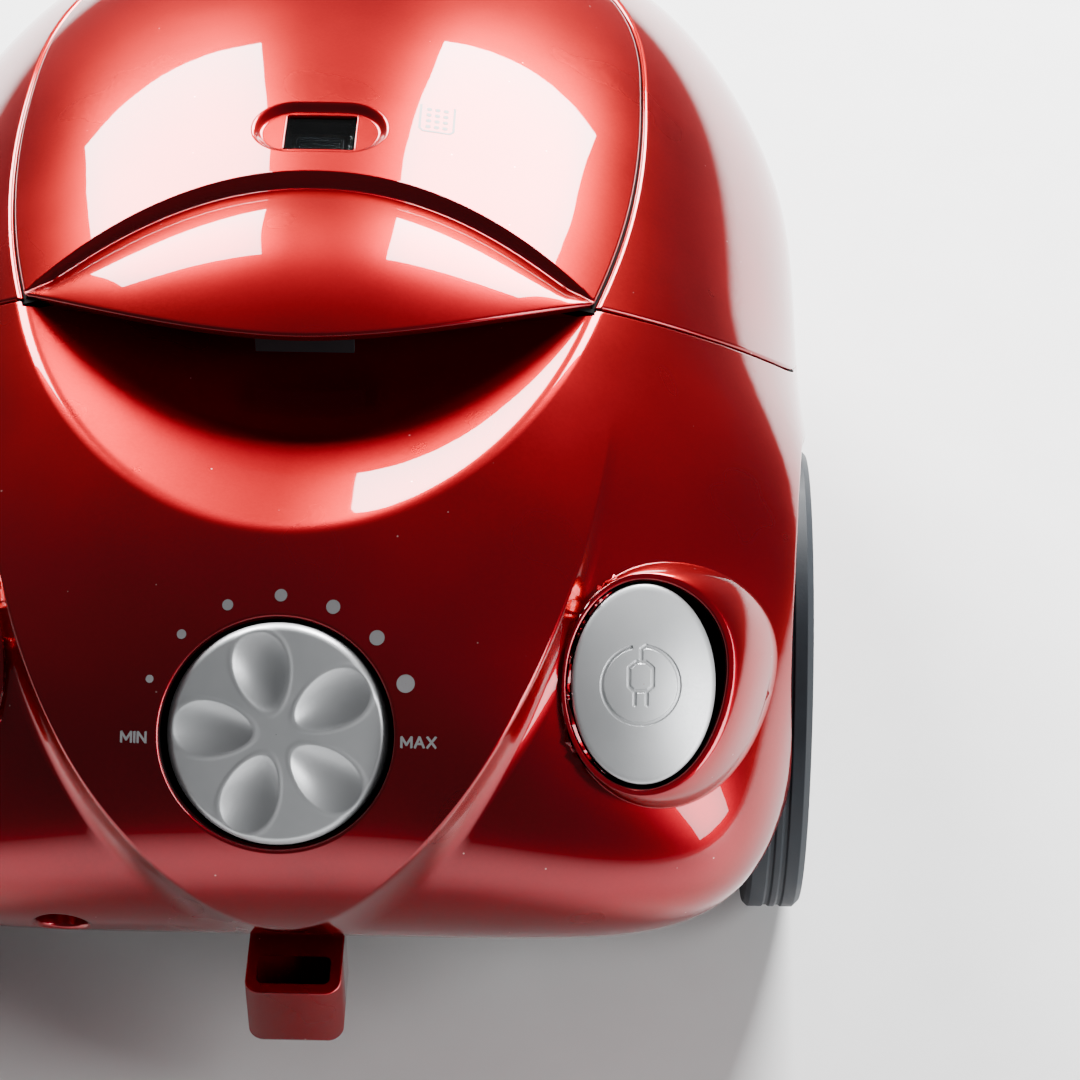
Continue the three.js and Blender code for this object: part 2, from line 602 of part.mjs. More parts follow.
function indicatorWindow() {
  const hollow = windowPrism(-1.5, 180, 201);
  return cut(windowPrism(0, 196, 220), hollow).intersect(skinSolid(WINDOW.sink + 0.2));
}

function indicatorFlag() {
  return box(-7, 7, WINDOW.y - 6, WINDOW.y + 1, 197.4, 200.2);
}

// ---------------------------------------------------------------- bag chamber
function tubRing(y0, y1, half, corner, z) {
  const outline = [];
  for (const [cx, cy, start] of [[half - corner, y0 + 12, -90], [half - corner, y1 - corner, 0],
    [-(half - corner), y1 - corner, 90], [-(half - corner), y0 + 12, 180]]) {
    const r = start === -90 || start === 180 ? 12 : corner;
    const reach = start === -90 || start === 180 ? corner - 12 : 0;
    const shift = start === -90 ? reach : start === 180 ? -reach : 0;
    for (const t of steps(3)) {
      const turn = THREE.MathUtils.degToRad(start + 90 * t);
      outline.push(new THREE.Vector3(cx + shift + r * Math.cos(turn), cy + r * Math.sin(turn), z));
    }
  }
  return outline;
}

function tubLoft(inset, z0, z1) {
  const at = (z) => {
    const t = (z - TUB.bottomZ) / (TUB.topZ - TUB.bottomZ);
    const half = TUB.halfBottom + (TUB.halfTop - TUB.halfBottom) * t;
    const front = TUB.y1 - 18 * (1 - t);
    return tubRing(TUB.y0 + inset, front - inset, half - inset, TUB.corner - inset, z);
  };
  return loft([at(z0), at(z1)]);
}

function tubPrism(grow, z0) {
  const outline = tubRing(
    TUB.y0 - grow, TUB.y1 + grow, TUB.halfTop + grow, TUB.corner + grow, 0,
  ).map((p) => [p.x, p.y]);
  return prism('z', outline, z0, 260);
}

function bagChamber() {
  let body = cut(tubLoft(0, TUB.bottomZ, TUB.topZ), tubLoft(TUB.wall, TUB.bottomZ + TUB.wall, TUB.topZ + 2));
  const opening = box(MOTOR.x - 24, MOTOR.x + 24, TUB.y0 - 2, TUB.y0 + 4, 72, 124);
  body = cut(body, opening, rod('y', INLET.tube + 0.4, 100, 140, 0, 0, INLET.z, 32));
  const shelf = box(MOTOR.x - 30, MOTOR.x + 30, TUB.y0 + 1, TUB.y0 + 12, 59, 63.5);
  return join(body, shelf);
}

function lidSeal() {
  const band = cut(
    tubPrism(0.6, TUB.topZ + 0.3), tubPrism(-3, TUB.topZ - 1),
  ).intersect(box(-200, 200, -200, 200, TUB.topZ, TUB.topZ + 4.2));
  return band;
}

function dustBag() {
  const geometry = new THREE.SphereGeometry(1, 16, 10);
  const place = geometry.attributes.position;
  const square = (value, power) => Math.sign(value) * Math.abs(value) ** power;
  for (let i = 0; i < place.count; i++) {
    const [x, y, z] = [place.getX(i), place.getY(i), place.getZ(i)];
    const grow = 1 / Math.max(Math.abs(x), Math.abs(y), Math.abs(z)) ** 0.45;
    place.setXYZ(i, square(x * grow, 1) * 62, 46 + y * grow * 52, 108 + z * grow * 40);
  }
  return toSolid(geometry);
}

// ---------------------------------------------------------------- hose inlet and bag holder
function inletCollar() {
  const i = INLET;
  const profile = [
    [i.bore, i.inner], [i.tube, i.inner], [i.tube, 172], [i.flange - 2, 176],
    [i.flange, 182], [i.flange, 210],
    [i.flange - 1, 214.6], [i.flange - 3.4, i.face], [i.bore + 3, i.face], [i.bore, i.face - 3], [i.bore, 200],
    [i.bore + 1.4, 198], [i.bore + 1.4, 194], [i.bore, 192]];
  const collar = spun('y', profile, 24, 0, 0, i.z);
  return cut(collar, box(-30, 30, 90, 176, 0, i.z - 30));
}

function bagHolder() {
  const plate = cut(box(-34, 34, 104, 107, 84, 156), rod('y', 21, 90, 120, 0, 0, INLET.z, 28));
  const leftGuide = box(-34, -30, 98, 104, 84, 150);
  const rightGuide = box(30, 34, 98, 104, 84, 150);
  const sill = box(-34, 34, 98, 104, 82, 85);
  return plate.add(leftGuide).add(rightGuide).add(sill);
}
const bagCollar = () => cut(
  box(-29.4, 29.4, 100.4, 103.2, 85.6, 152), rod('y', 19, 90, 120, 0, 0, INLET.z, 28),
);
const inletSeal = () => spun(
  'y', [[18, 108.2], [24, 108.2], [24, 113.4], [21.5, 113.4], [17.4, 111.4]], 20, 0, 0, INLET.z,
);

// ---------------------------------------------------------------- motor group
const motorRod = (r, from, to, segments = 20) => rod('y', r, from, to, MOTOR.x, 0, MOTOR.z, segments);
const motorRing = (r0, r1, from, to, segments = 20) => ring(
  'y', r0, r1, from, to, MOTOR.x, 0, MOTOR.z, segments,
);

function fanCover() {
  const m = MOTOR;
  const profile = [[16, m.fanFront], [
    m.fanRadius - 5, m.fanFront,
  ], [m.fanRadius, m.fanFront - 4], [m.fanRadius, m.fanBack],
    [m.fanRadius - 1.2, m.fanBack], [
      m.fanRadius - 1.2, m.fanFront - 4.6,
    ], [m.fanRadius - 5.4, m.fanFront - 1.2], [16, m.fanFront - 1.2]];
  return spun('y', profile, 24, m.x, 0, m.z);
}

function motorCasing() {
  const m = MOTOR;
  const profile = [
    [m.shaft + 0.4, m.back], [m.radius - 8, m.back], [m.radius, m.back + 8],
    [m.radius, m.fanBack - 6], [m.fanRadius, m.fanBack - 4],
    [m.fanRadius, m.fanBack - 0.4], [
      m.shaft + 0.4, m.fanBack - 0.4,
    ], [m.shaft + 0.4, m.fanBack - 3], [m.radius - 2, m.fanBack - 5],
    [m.radius - 2, m.back + 9], [m.radius - 9, m.back + 2.5], [m.shaft + 0.4, m.back + 2.5]];
  let casing = spun('y', profile, 20, m.x, 0, m.z);
  for (const side of [-1, 1]) casing = cut(
    casing, box(m.x + side * 30 - 12, m.x + side * 30 + 12, m.back + 40, m.back + 62, m.z - 8, m.z + 8),
  );
  return casing;
}

function impeller() {
  let wheel = join(motorRod(48, -61, -59.4), motorRing(17, 48, -47, -45.6));
  for (let i = 0; i < 7; i++) {
    const turn = (2 * Math.PI * i) / 7;
    const blade = new THREE.BoxGeometry(30, 13, 1.4).translate(32, 0, 0);
    blade.rotateY(0.35).applyMatrix4(
      new THREE.Matrix4().makeRotationY(turn),
    ).translate(MOTOR.x, -53.2, MOTOR.z);
    wheel = join(wheel, toSolid(blade));
  }
  return cut(wheel, motorRod(MOTOR.shaft + 0.3, -70, -40, 16));
}

const motorShaft = () => motorRod(MOTOR.shaft, -143, -44, 16);
function armature() {
  const m = MOTOR;
  const profile = [
    [m.shaft + 0.3, -132], [9, -132], [10, -131], [10, -122], [17, -119], [21, -116], [21, -80],
    [17, -77], [m.shaft + 0.3, -74],
  ];
  return spun('y', profile, 16, m.x, 0, m.z);
}
const stator = () => cut(
  motorRing(22.5, 35.2, -114, -82),
  box(MOTOR.x - 40, MOTOR.x + 40, -116, -80, MOTOR.z - 60, MOTOR.z - 32),
  box(MOTOR.x - 40, MOTOR.x + 40, -116, -80, MOTOR.z + 32, MOTOR.z + 60),
);
const brush = (side) => box(
  ...(side > 0 ? [MOTOR.x + 10.8, MOTOR.x + 33] : [MOTOR.x - 33, MOTOR.x - 10.8]), -129.5, -122.5,
  MOTOR.z - 4, MOTOR.z + 4,
);
const frontMount = () => spun('y', [[54.4, -44], [59, -44], [59, -60], [54.4, -60]], 24, MOTOR.x, 0, MOTOR.z);
const rearMount = () => motorRing(12, 29, -148, -140.4);

function motorCradle() {
  const m = MOTOR;
  const front = cut(box(m.x - 64, m.x + 64, -58, -46, 26.9, m.z - 6), motorRod(59.4, -70, -30, 28));
  const rear = cut(box(m.x - 36, m.x + 36, -152, -141, 26.9, m.z - 10), motorRod(29.4, -149, -130));
  const rails = [-1, 1].map((side) => box(m.x + side * 29 - 3, m.x + side * 29 + 3, -150, -46, 39.2, 46));
  const exhaustRoom = box(-46, 46, -76, -26, 20, 38.8);
  let cradle = cut(join(front, rear, ...rails), exhaustRoom, motorRod(9, -160, -130)).intersect(cavity);
  for (const [x, y] of SCREWS) cradle = cut(cradle, rod('z', 6.4, 0, 50, x, y, 0, 14));
  return cut(cradle, motorRod(m.fanRadius + 0.4, -68.5, -62, 24), motorRod(59.4, -61, -43, 24));
}

// ---------------------------------------------------------------- filters
const motorFilter = () => box(MOTOR.x - 27, MOTOR.x + 27, TUB.y0 + 3.2, TUB.y0 + 8.6, 67, 128);
function filterFrame() {
  const { x } = MOTOR;
  const block = box(x - 28.8, x + 28.8, TUB.y0 + 2.6, TUB.y0 + 11, 64, 131.4);
  const seat = box(x - 27.4, x + 27.4, TUB.y0 + 2, TUB.y0 + 9, 66.6, 128.4);
  const panes = [-1, 1].map(
    (side) => box(x + side * 12.5 - 10.5, x + side * 12.5 + 10.5, TUB.y0, TUB.y0 + 14, 70, 125),
  );
  return cut(block, seat, ...panes);
}

function exhaustGrille() {
  let grille = box(-41, 41, -71, -31, BELLY_Z, BELLY_Z + 2);
  for (let i = 0; i < 7; i++) grille = cut(grille, box(-36, 36, -68 + i * 5, -65.6 + i * 5, 10, 40));
  return grille;
}
const exhaustFilter = () => box(-40, 40, -70, -32, BELLY_Z + 2.6, 37.6);

// ---------------------------------------------------------------- cord reel
function reelDrum() {
  const r = REEL;
  const profile = [[r.core - 2.4, r.x0], [r.radius, r.x0], [
    r.radius, r.x0 + r.flange,
  ], [r.core, r.x0 + r.flange], [r.core, r.x1 - r.flange],
    [r.radius, r.x1 - r.flange], [r.radius, r.x1], [r.spindle + 0.4, r.x1], [
      r.spindle + 0.4, r.x1 - r.flange,
    ], [r.core - 2.4, r.x1 - r.flange]];
  let drum = spun('x', profile, 24, 0, r.y, r.z);
  for (let i = 0; i < 4; i++) {
    const turn = (Math.PI * i) / 2;
    drum = cut(
      drum, rod('x', 8, r.x1 - 5, r.x1 + 5, 0, r.y + 41 * Math.cos(turn), r.z + 41 * Math.sin(turn), 8),
    );
  }
  return drum;
}
const springCassette = () =>
  ring('x', REEL.spindle + 0.4, REEL.core - 3.4, REEL.x0 + 1, REEL.x0 + 26, 0, REEL.y, REEL.z);
const reelSpindle = () => rod('x', REEL.spindle, REEL.x0 - 12, REEL.x1 + 3, 0, REEL.y, REEL.z, 14);

function reelStand() {
  const r = REEL;
  const [x0, x1] = [r.x0 - 7, r.x0 - 4];
  const plate = prism(
    'x', [[r.y - 46, 27], [r.y + 40, 27], [r.y + 14, r.z + 12], [r.y - 14, r.z + 12]], x0, x1,
  );
  const hub = rod('x', 9, x0 - 3, x1, 0, r.y, r.z);
  const body = cut(join(plate, hub), rod('x', r.spindle + 0.3, 30, 60, 0, r.y, r.z, 14));
  return cut(body.intersect(cavity), box(20, 60, -76, -26, 20, 38.8), rod('z', 6.4, 0, 50, 42, -84, 0, 14));
}

function brakeLever() {
  const b = BRAKE;
  const outline = [
    [-3.5, -23], [0, -24], [7.5, -22], [8, -17], [5, 0], [8, 9], [12, 17], [8.5, 19.9], [5.7, 17.1],
    [5.2, 13], [-3.5, 3], [-1, -16]].map(([y, z]) => [b.pivotY + y, b.pivotZ + z]);
  const body = prism('x', outline, b.x0, b.x1);
  const pinHole = rod('x', 2.3, 80, 110, 0, b.pivotY, b.pivotZ, 12);
  return cut(body, pinHole, rod('x', 1.9, 80, 110, 0, b.pivotY + b.rollerY, b.pivotZ + b.rollerZ, 12));
}

const brakePin = () => rod('x', 2, BRAKE.x0 - 3, BRAKE.x1 + 3, 0, BRAKE.pivotY, BRAKE.pivotZ, 12);

function brakeRoller() {
  const b = BRAKE;
  const [y, z] = [b.pivotY + b.rollerY, b.pivotZ + b.rollerZ];
  return join(
    rod('x', 1.6, b.x0 - 1, b.x1 + 1, 0, y, z, 10),
    rod('x', b.rollerRadius, REEL.x1 - 3, b.x0 - 0.4, 0, y, z, 16),
  );
}

// ---------------------------------------------------------------- controls
function powerDial() {
  const d = DIAL;
  const profile = [[0, -d.depth + 0.6], [
    d.radius - 1, -d.depth + 0.6,
  ], [d.radius, -d.depth + 1.6], [d.radius, d.rim - 1.4], [d.radius - 1.2, d.rim],
    [20, d.rim + 2], [10, d.crown - 0.3], [0, d.crown]];
  const points = profile.map(([r, h]) => new THREE.Vector2(r, h));
  const dial = faced(turned(new THREE.LatheGeometry(points, 24), X_AXIS, Z_AXIS, Y_AXIS));
  let result = dial;
  for (let i = 0; i < 5; i++) {
    const turn = THREE.MathUtils.degToRad(104 + 72 * i);
    const petal = new THREE.SphereGeometry(1, 8, 6)
      .scale(10.5, 6.8, 3.6)
      .translate(17, 0, d.rim + 3.2)
      .rotateZ(turn);
    result = cut(result, faced(petal));
  }
  return cut(result, faceRod(d.shaft + 0.3, -20, -3, 0, 0, 16));
}

const dialShaft = () => faceRod(DIAL.shaft, -24, -3.4, 0, 0, 16);
const potentiometer = () => cut(
  faceRod(11, -23, -13, 0, 0, 24), faceRod(DIAL.shaft + 0.4, -30, -10, 0, 0, 16),
);
const controlBoard = () => cut(
  facePrism([[-34, -20], [34, -20], [34, 24], [-34, 24]], -25.2, -23.4), faceRod(4, -40, 0, 0, 0, 16),
);

function buttonCap(side) {
  const drops = [[-3.4, 0.35], [-2.6, 0.7], [-1, 0.93], [0.4, 1], [10, 1]];
  const rings = drops.map(([drop, size]) => ellipse(
    BUTTON.across * size, BUTTON.along * size, 24, BUTTON.u, BUTTON.v,
  )
    .map(([u, v]) => onFace(side * u, v, buttonPlane(u, v) - drop)));
  const base = buttonPlane(BUTTON.u, BUTTON.v);
  const stem = faceRod(4, base - 33, base - 8, side * BUTTON.u, BUTTON.v, 12);
  return join(loft(rings), stem);
}

// Helical compression spring along the drawing direction of the control face.
class FaceHelix extends THREE.Curve {
  constructor(u, v, w0, w1, radius, turns) {
    super();
    Object.assign(this, { u, v, w0, w1, radius, turns });
  }

  getPoint(t, target = new THREE.Vector3()) {
    const turn = 2 * Math.PI * this.turns * t;
    const w = this.w0 + (this.w1 - this.w0) * t;
    return target.copy(
      onFace(this.u + this.radius * Math.cos(turn), this.v + this.radius * Math.sin(turn), w),
    );
  }
}

function coilSpring(path, wire, segments) {
  const section = new THREE.Shape(ellipse(wire, wire, 5).map(([a, b]) => new THREE.Vector2(a, b)));
  return toSolid(
    new THREE.ExtrudeGeometry(section, { extrudePath: path, steps: segments, bevelEnabled: false }),
  );
}

function buttonSpring(side) {
  const base = buttonPlane(BUTTON.u, BUTTON.v);
  const path = new FaceHelix(side * BUTTON.u, BUTTON.v, base - 18.2, base - 12.6, 6.6, 3);
  return coilSpring(path, 0.6, 24);
}

function powerSwitch() {
  const base = buttonPlane(BUTTON.u, BUTTON.v);
  const [u, v] = [-BUTTON.u, BUTTON.v];
  return facePrism(
    [[u - 9, v - 12], [u + 9, v - 12], [u + 9, v + 12], [u - 9, v + 12]], base - 56, base - 38.6,
  );
}

// ---------------------------------------------------------------- wheels
function wheelDisc(side) {
  const w = WHEEL;
  const at = (x) => side * x;
  const profile = [[w.axle + 0.4, at(130)], [14, at(130)], [16, at(136)], [w.discRadius, at(136)],
    [w.discRadius, at(144.4)], [50, at(144.4)], [44, at(141)], [16, at(141)],
    [14.4, at(143.4)], [w.axle + 0.4, at(143.4)]];
  return spun('x', profile, 24, 0, w.y, w.z);
}
function wheelTyre(side) {
  const w = WHEEL;
  const [a, b] = [side * w.inner, side * w.outer];
  const s = side;
  const profile = [
    [w.discRadius + 0.3, a], [w.radius - 1.4, a], [w.radius, a + s * 1.4], [w.radius, b - s * 1.8],
    [w.radius - 1.8, b], [w.discRadius + 0.3, b]];
  return spun('x', profile, 32, 0, w.y, w.z);
}
const hubCap = (side) =>
  spun(
    'x', [[0, side * 143.7], [12, side * 143.7], [11, side * 145], [0, side * 145.4]], 20, 0, WHEEL.y,
    WHEEL.z,
  );
const wheelAxle = (side) => rod(
  'x', WHEEL.axle, Math.min(side * 110, side * 143), Math.max(side * 110, side * 143), 0, WHEEL.y,
  WHEEL.z, 14,
);

function casterFork() {
  const c = CASTER;
  const y = c.y - c.trail;
  const plate = rod('z', 23, c.plateZ, c.plateZ + 3, 0, c.y, 0, 24);
  const stem = rod('z', c.stem, c.plateZ + 2, 52, 0, c.y, 0, 16);
  const arms = [-1, 1].map((side) => {
    const [x0, x1] = side > 0 ? [8.4, 11.4] : [-11.4, -8.4];
    return prism('x', [[y - 5, 10], [y + 5, 10], [c.y + 12, c.plateZ + 1], [y - 9, c.plateZ + 1]], x0, x1);
  });
  return cut(join(plate, stem, ...arms), rod('x', 2.3, -20, 20, 0, y, c.radius, 14));
}
function casterWheel() {
  const { bore, radius, shoulder, half, edge } = CASTER;
  const profile = [
    [bore, -half],
    [shoulder, -half],
    [radius, -edge],
    [radius, edge],
    [shoulder, half],
    [bore, half],
  ];
  return spun('x', profile, 20, 0, CASTER.y - CASTER.trail, radius);
}
const casterAxle = () => rod('x', 2, -13, 13, 0, CASTER.y - CASTER.trail, CASTER.radius, 14);

// ---------------------------------------------------------------- latch
const lidLatch = () => join(box(-17, 17, -77, -67.4, 187.4, 189.8), box(-14, 14, -77, -74.6, 181.6, 187.6));
const hingePin = () => rod('x', HINGE.pinRadius, -47.5, 47.5, 0, HINGE.y, HINGE.z, 14);

// ---------------------------------------------------------------- assembly
const vacuum = new THREE.Group();

function addPiece(name, finish, solid) {
  const mesh = new THREE.Mesh(toGeometry(solid), new THREE.MeshStandardMaterial(FINISH[finish]));
  mesh.name = name;
  vacuum.add(mesh);
}

addPiece('base_tray', 'grey', baseTray());
addPiece('lower_housing', 'red', lowerHousing());
addPiece('upper_housing', 'red', upperHousing());
addPiece('bag_lid', 'red', bagLid());
addPiece('indicator_window', 'clear', indicatorWindow());
addPiece('indicator_flag', 'grey', indicatorFlag());
addPiece('lid_latch', 'grey', lidLatch());
addPiece('hinge_pin', 'steel', hingePin());
addPiece('lid_seal', 'rubber', lidSeal());
addPiece('inlet_collar', 'grey', inletCollar());
addPiece('inlet_seal', 'rubber', inletSeal());
addPiece('bag_chamber', 'grey', bagChamber());
addPiece('bag_holder', 'grey', bagHolder());
addPiece('bag_collar', 'card', bagCollar());
addPiece('dust_bag', 'cream', dustBag());
addPiece('motor_filter', 'foam', motorFilter());
addPiece('filter_frame', 'white', filterFrame());
addPiece('fan_cover', 'steel', fanCover());
addPiece('motor_casing', 'white', motorCasing());
addPiece('impeller', 'steel', impeller());
addPiece('motor_shaft', 'steel', motorShaft());
addPiece('armature', 'copper', armature());
addPiece('stator', 'steel', stator());
addPiece('brush_left', 'rubber', brush(-1));
addPiece('brush_right', 'rubber', brush(1));
addPiece('front_motor_mount', 'rubber', frontMount());
addPiece('rear_motor_mount', 'rubber', rearMount());
addPiece('motor_cradle', 'grey', motorCradle());
addPiece('exhaust_grille', 'grey', exhaustGrille());
addPiece('exhaust_filter', 'white', exhaustFilter());
addPiece('vent_grille_left', 'grey', ventGrille(-1));
addPiece('vent_grille_right', 'grey', ventGrille(1));
addPiece('reel_drum', 'white', reelDrum());
addPiece('spring_cassette', 'orange', springCassette());
addPiece('reel_spindle', 'steel', reelSpindle());
addPiece('reel_stand', 'grey', reelStand());
addPiece('brake_lever', 'orange', brakeLever());
addPiece('brake_pin', 'steel', brakePin());
addPiece('brake_roller', 'rubber', brakeRoller());
addPiece('power_dial', 'silver', powerDial());
addPiece('dial_shaft', 'steel', dialShaft());
addPiece('potentiometer', 'steel', potentiometer());
addPiece('control_board', 'board', controlBoard());
addPiece('power_button', 'silver', buttonCap(-1));
addPiece('rewind_button', 'silver', buttonCap(1));
addPiece('power_button_spring', 'steel', buttonSpring(-1));
addPiece('rewind_button_spring', 'steel', buttonSpring(1));
addPiece('power_switch', 'rubber', powerSwitch());
for (const [side, name] of [[-1, 'left'], [1, 'right']]) {
  addPiece(`wheel_disc_${name}`, 'slate', wheelDisc(side));
  addPiece(`wheel_tyre_${name}`, 'slate', wheelTyre(side));
  addPiece(`hub_cap_${name}`, 'silver', hubCap(side));
  addPiece(`wheel_axle_${name}`, 'steel', wheelAxle(side));
}
addPiece('caster_fork', 'grey', casterFork());
addPiece('caster_wheel', 'slate', casterWheel());
addPiece('caster_axle', 'steel', casterAxle());
addPiece('parking_bracket', 'red', parkingBracket());

export default vacuum;
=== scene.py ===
"""Looks of the canister vacuum cleaner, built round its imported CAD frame.

Lengths inside the classes are millimetres in the part's own frame: +X right, +Y front, +Z up, origin on
the floor. They become metres when a mesh is made.
"""

import json
import logging
import math
from dataclasses import dataclass, field
from enum import Enum
from typing import Callable, Optional, Sequence

import bpy
import numpy as np
from mathutils import Matrix, Vector
from mathutils.geometry import delaunay_2d_cdt
from mathutils.kdtree import KDTree

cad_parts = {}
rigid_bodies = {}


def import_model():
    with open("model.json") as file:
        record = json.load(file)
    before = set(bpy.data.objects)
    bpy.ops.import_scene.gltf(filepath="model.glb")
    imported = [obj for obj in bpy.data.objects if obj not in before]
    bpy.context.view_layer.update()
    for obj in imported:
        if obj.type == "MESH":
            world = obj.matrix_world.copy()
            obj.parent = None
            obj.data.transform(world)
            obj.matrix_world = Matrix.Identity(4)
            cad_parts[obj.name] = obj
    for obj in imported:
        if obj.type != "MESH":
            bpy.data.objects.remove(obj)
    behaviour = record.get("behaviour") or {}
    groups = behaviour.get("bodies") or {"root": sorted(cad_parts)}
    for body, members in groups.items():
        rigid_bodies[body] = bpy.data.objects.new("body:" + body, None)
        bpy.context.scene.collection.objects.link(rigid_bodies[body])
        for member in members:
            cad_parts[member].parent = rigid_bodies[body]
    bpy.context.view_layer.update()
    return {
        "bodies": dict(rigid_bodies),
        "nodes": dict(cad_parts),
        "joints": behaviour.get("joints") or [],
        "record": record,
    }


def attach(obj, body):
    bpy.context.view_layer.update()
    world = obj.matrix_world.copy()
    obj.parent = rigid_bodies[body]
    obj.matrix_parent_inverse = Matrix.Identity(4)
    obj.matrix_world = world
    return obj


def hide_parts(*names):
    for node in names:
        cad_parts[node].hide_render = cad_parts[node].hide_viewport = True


Array = np.ndarray
Socket = bpy.types.NodeSocket
Material = bpy.types.Material
MM = 0.001
LOG = logging.getLogger("canister_vacuum")


# ---------------------------------------------------------------- small geometry helpers
def unit(v: Array) -> Array:
    """Returns the vectors at length one."""
    return v / np.maximum(np.linalg.norm(v, axis=-1, keepdims=True), 1e-12)


def smoothstep(x: Array, low: float, high: float) -> Array:
    """Eases from 0 at low to 1 at high."""
    t = np.clip((np.asarray(x, float) - low) / (high - low), 0.0, 1.0)
    return t * t * (3.0 - 2.0 * t)


def crisp_step(t: Array, knee: float = 0.82) -> Array:
    """A step that leaves its foot softly and turns sharply into its top.

    Args:
        t: place across the step, 0 at the foot and 1 at the top.
        knee: where the soft rise ends and the sharp rounding starts.

    Returns:
        Height from 0 to 1.
    """
    t = np.clip(t, 0.0, 1.0)
    return np.where(t < knee, t * t / knee, 1.0 - (1.0 - t) ** 2 / (1.0 - knee))


def ramp(x: Array, radius: float) -> Array:
    """max(x, 0) with its corner rounded over plus and minus radius."""
    return np.where(x > radius, x, np.where(x < -radius, 0.0, (x + radius) ** 2 / (4.0 * radius)))


def resample(points: Array, spacing: float, closed: bool = False) -> Array:
    """Points at even spacing along a polyline.

    Args:
        points: the polyline, (n, d).
        spacing: wanted distance between points.
        closed: True for a loop, whose first point isn't repeated.

    Returns:
        The new points; a closed loop leaves out its last, repeated point.
    """
    line = np.vstack([points, points[:1]]) if closed else np.asarray(points, float)
    travel = np.concatenate([[0.0], np.cumsum(np.linalg.norm(np.diff(line, axis=0), axis=1))])
    count = max(3, int(round(travel[-1] / spacing)))
    wanted = np.linspace(0.0, travel[-1], count + 1)
    out = np.stack([np.interp(wanted, travel, line[:, k]) for k in range(line.shape[1])], axis=1)
    return out[:-1] if closed else out


# ---------------------------------------------------------------- the body's form
@dataclass(frozen=True)
class Skin:
    """The smooth outer skin: an ellipsoid-like body, boxy low down and rounder above and in front."""

    centre_y: float = -18.7
    centre_z: float = 103.6
    half_width: float = 145.3
    rear: float = 193.3
    front: float = 230.0
    up: float = 102.5
    down: float = 87.9
    plan_top: float = 2.4
    plan_bottom: float = 7.5
    nose_top: float = 2.6
    nose_bottom: float = 3.4
    blend_height: float = 40.0
    blend_length: float = 150.0

    @property
    def centre(self) -> Array:
        """The skin's middle point."""
        return np.array([0.0, self.centre_y, self.centre_z])

    def level(self, p: Array) -> Array:
        """Zero on the skin and negative inside it."""
        x, y, z = p[..., 0], p[..., 1] - self.centre_y, p[..., 2] - self.centre_z
        high = 0.5 + 0.5 * np.tanh(z / self.blend_height)
        ahead = smoothstep(y, 0.0, self.blend_length)
        body = self.plan_bottom + (self.plan_top - self.plan_bottom) * high
        nose = self.nose_bottom + (self.nose_top - self.nose_bottom) * high
        power = body * (1.0 - ahead) + nose * ahead
        reach = np.where(y < 0, self.rear, self.front)
        plan = np.abs(x / self.half_width) ** power + np.abs(y / reach) ** power
        side = np.where(z > 0, self.up, self.down)
        return plan ** (2.0 / power) + (z / side) ** 2 - 1.0

    def normal(self, p: Array, step: float = 0.2) -> Array:
        """Outward unit normals of the skin's level surfaces at these points."""
        grad = np.zeros_like(p)
        for k in range(3):
            shift = np.zeros(3)
            shift[k] = step
            grad[..., k] = self.level(p + shift) - self.level(p - shift)
        return unit(grad)

    def cross(self, start: Array, way: Array, near: float, far: float) -> Array:
        """Where start + t * way enters the skin, t from near (outside) to far (inside)."""
        low = np.full(start.shape[:-1], near, float)
        high = np.full(start.shape[:-1], far, float)
        for _ in range(34):
            middle = (low + high) / 2.0
            outside = self.level(start + middle[..., None] * way) > 0
            low = np.where(outside, middle, low)
            high = np.where(outside, high, middle)
        return start + high[..., None] * way

    def radial(self, way: Array) -> Array:
        """Skin points in these directions from its centre."""
        return self.cross(np.broadcast_to(self.centre, way.shape), unit(way), 400.0, 0.0)

    def onto(self, p: Array) -> Array:
        """The skin point in the direction of each point, seen from the centre."""
        return self.radial(p - self.centre)


@dataclass(frozen=True)
class Face:
    """Slanted frame of the control face: u across, v up the face, w outwards."""

    y: float = -192.9
    z: float = 148.1
    slope_deg: float = 44.0

    @property
    def up(self) -> Array:
        """Unit vector up the face."""
        a = math.radians(self.slope_deg)
        return np.array([0.0, math.sin(a), math.cos(a)])

    @property
    def out(self) -> Array:
        """Unit vector out of the face."""
        a = math.radians(self.slope_deg)
        return np.array([0.0, -math.cos(a), math.sin(a)])

    def place(self, u: Array, v: Array, w: Array) -> Array:
        """Points in the part's frame from face coordinates."""
        u, v, w = np.broadcast_arrays(np.asarray(u, float), v, w)
        base = np.array([0.0, self.y, self.z])
        return base + u[..., None] * np.array([1.0, 0, 0]) + v[..., None] * self.up + w[..., None] * self.out

    def read(self, p: Array) -> tuple[Array, Array, Array]:
        """Face coordinates (u, v, w) of points in the part's frame."""
        d = p - np.array([0.0, self.y, self.z])
        return d[..., 0], d @ self.up, d @ self.out


SKIN = Skin()
FACE = Face()


@dataclass(frozen=True)
class Sweep:
    """Parting line of the housings in side view: z = base + rise * exp(-(y - start) / run)."""

    base: float = 78.0
    rise: float = 108.6
    start: float = -61.4
    run: float = 54.0

    def height(self, y: Array) -> Array:
        """Height of the parting line at y."""
        return self.base + self.rise * np.exp(-(np.asarray(y, float) - self.start) / self.run)

    def side(self, p: Array) -> Array:
        """Signed distance of points from the parting surface, positive above and ahead."""
        slope = self.rise / self.run * np.exp(-(p[..., 1] - self.start) / self.run)
        return (p[..., 2] - self.height(p[..., 1])) / np.sqrt(1.0 + slope**2)


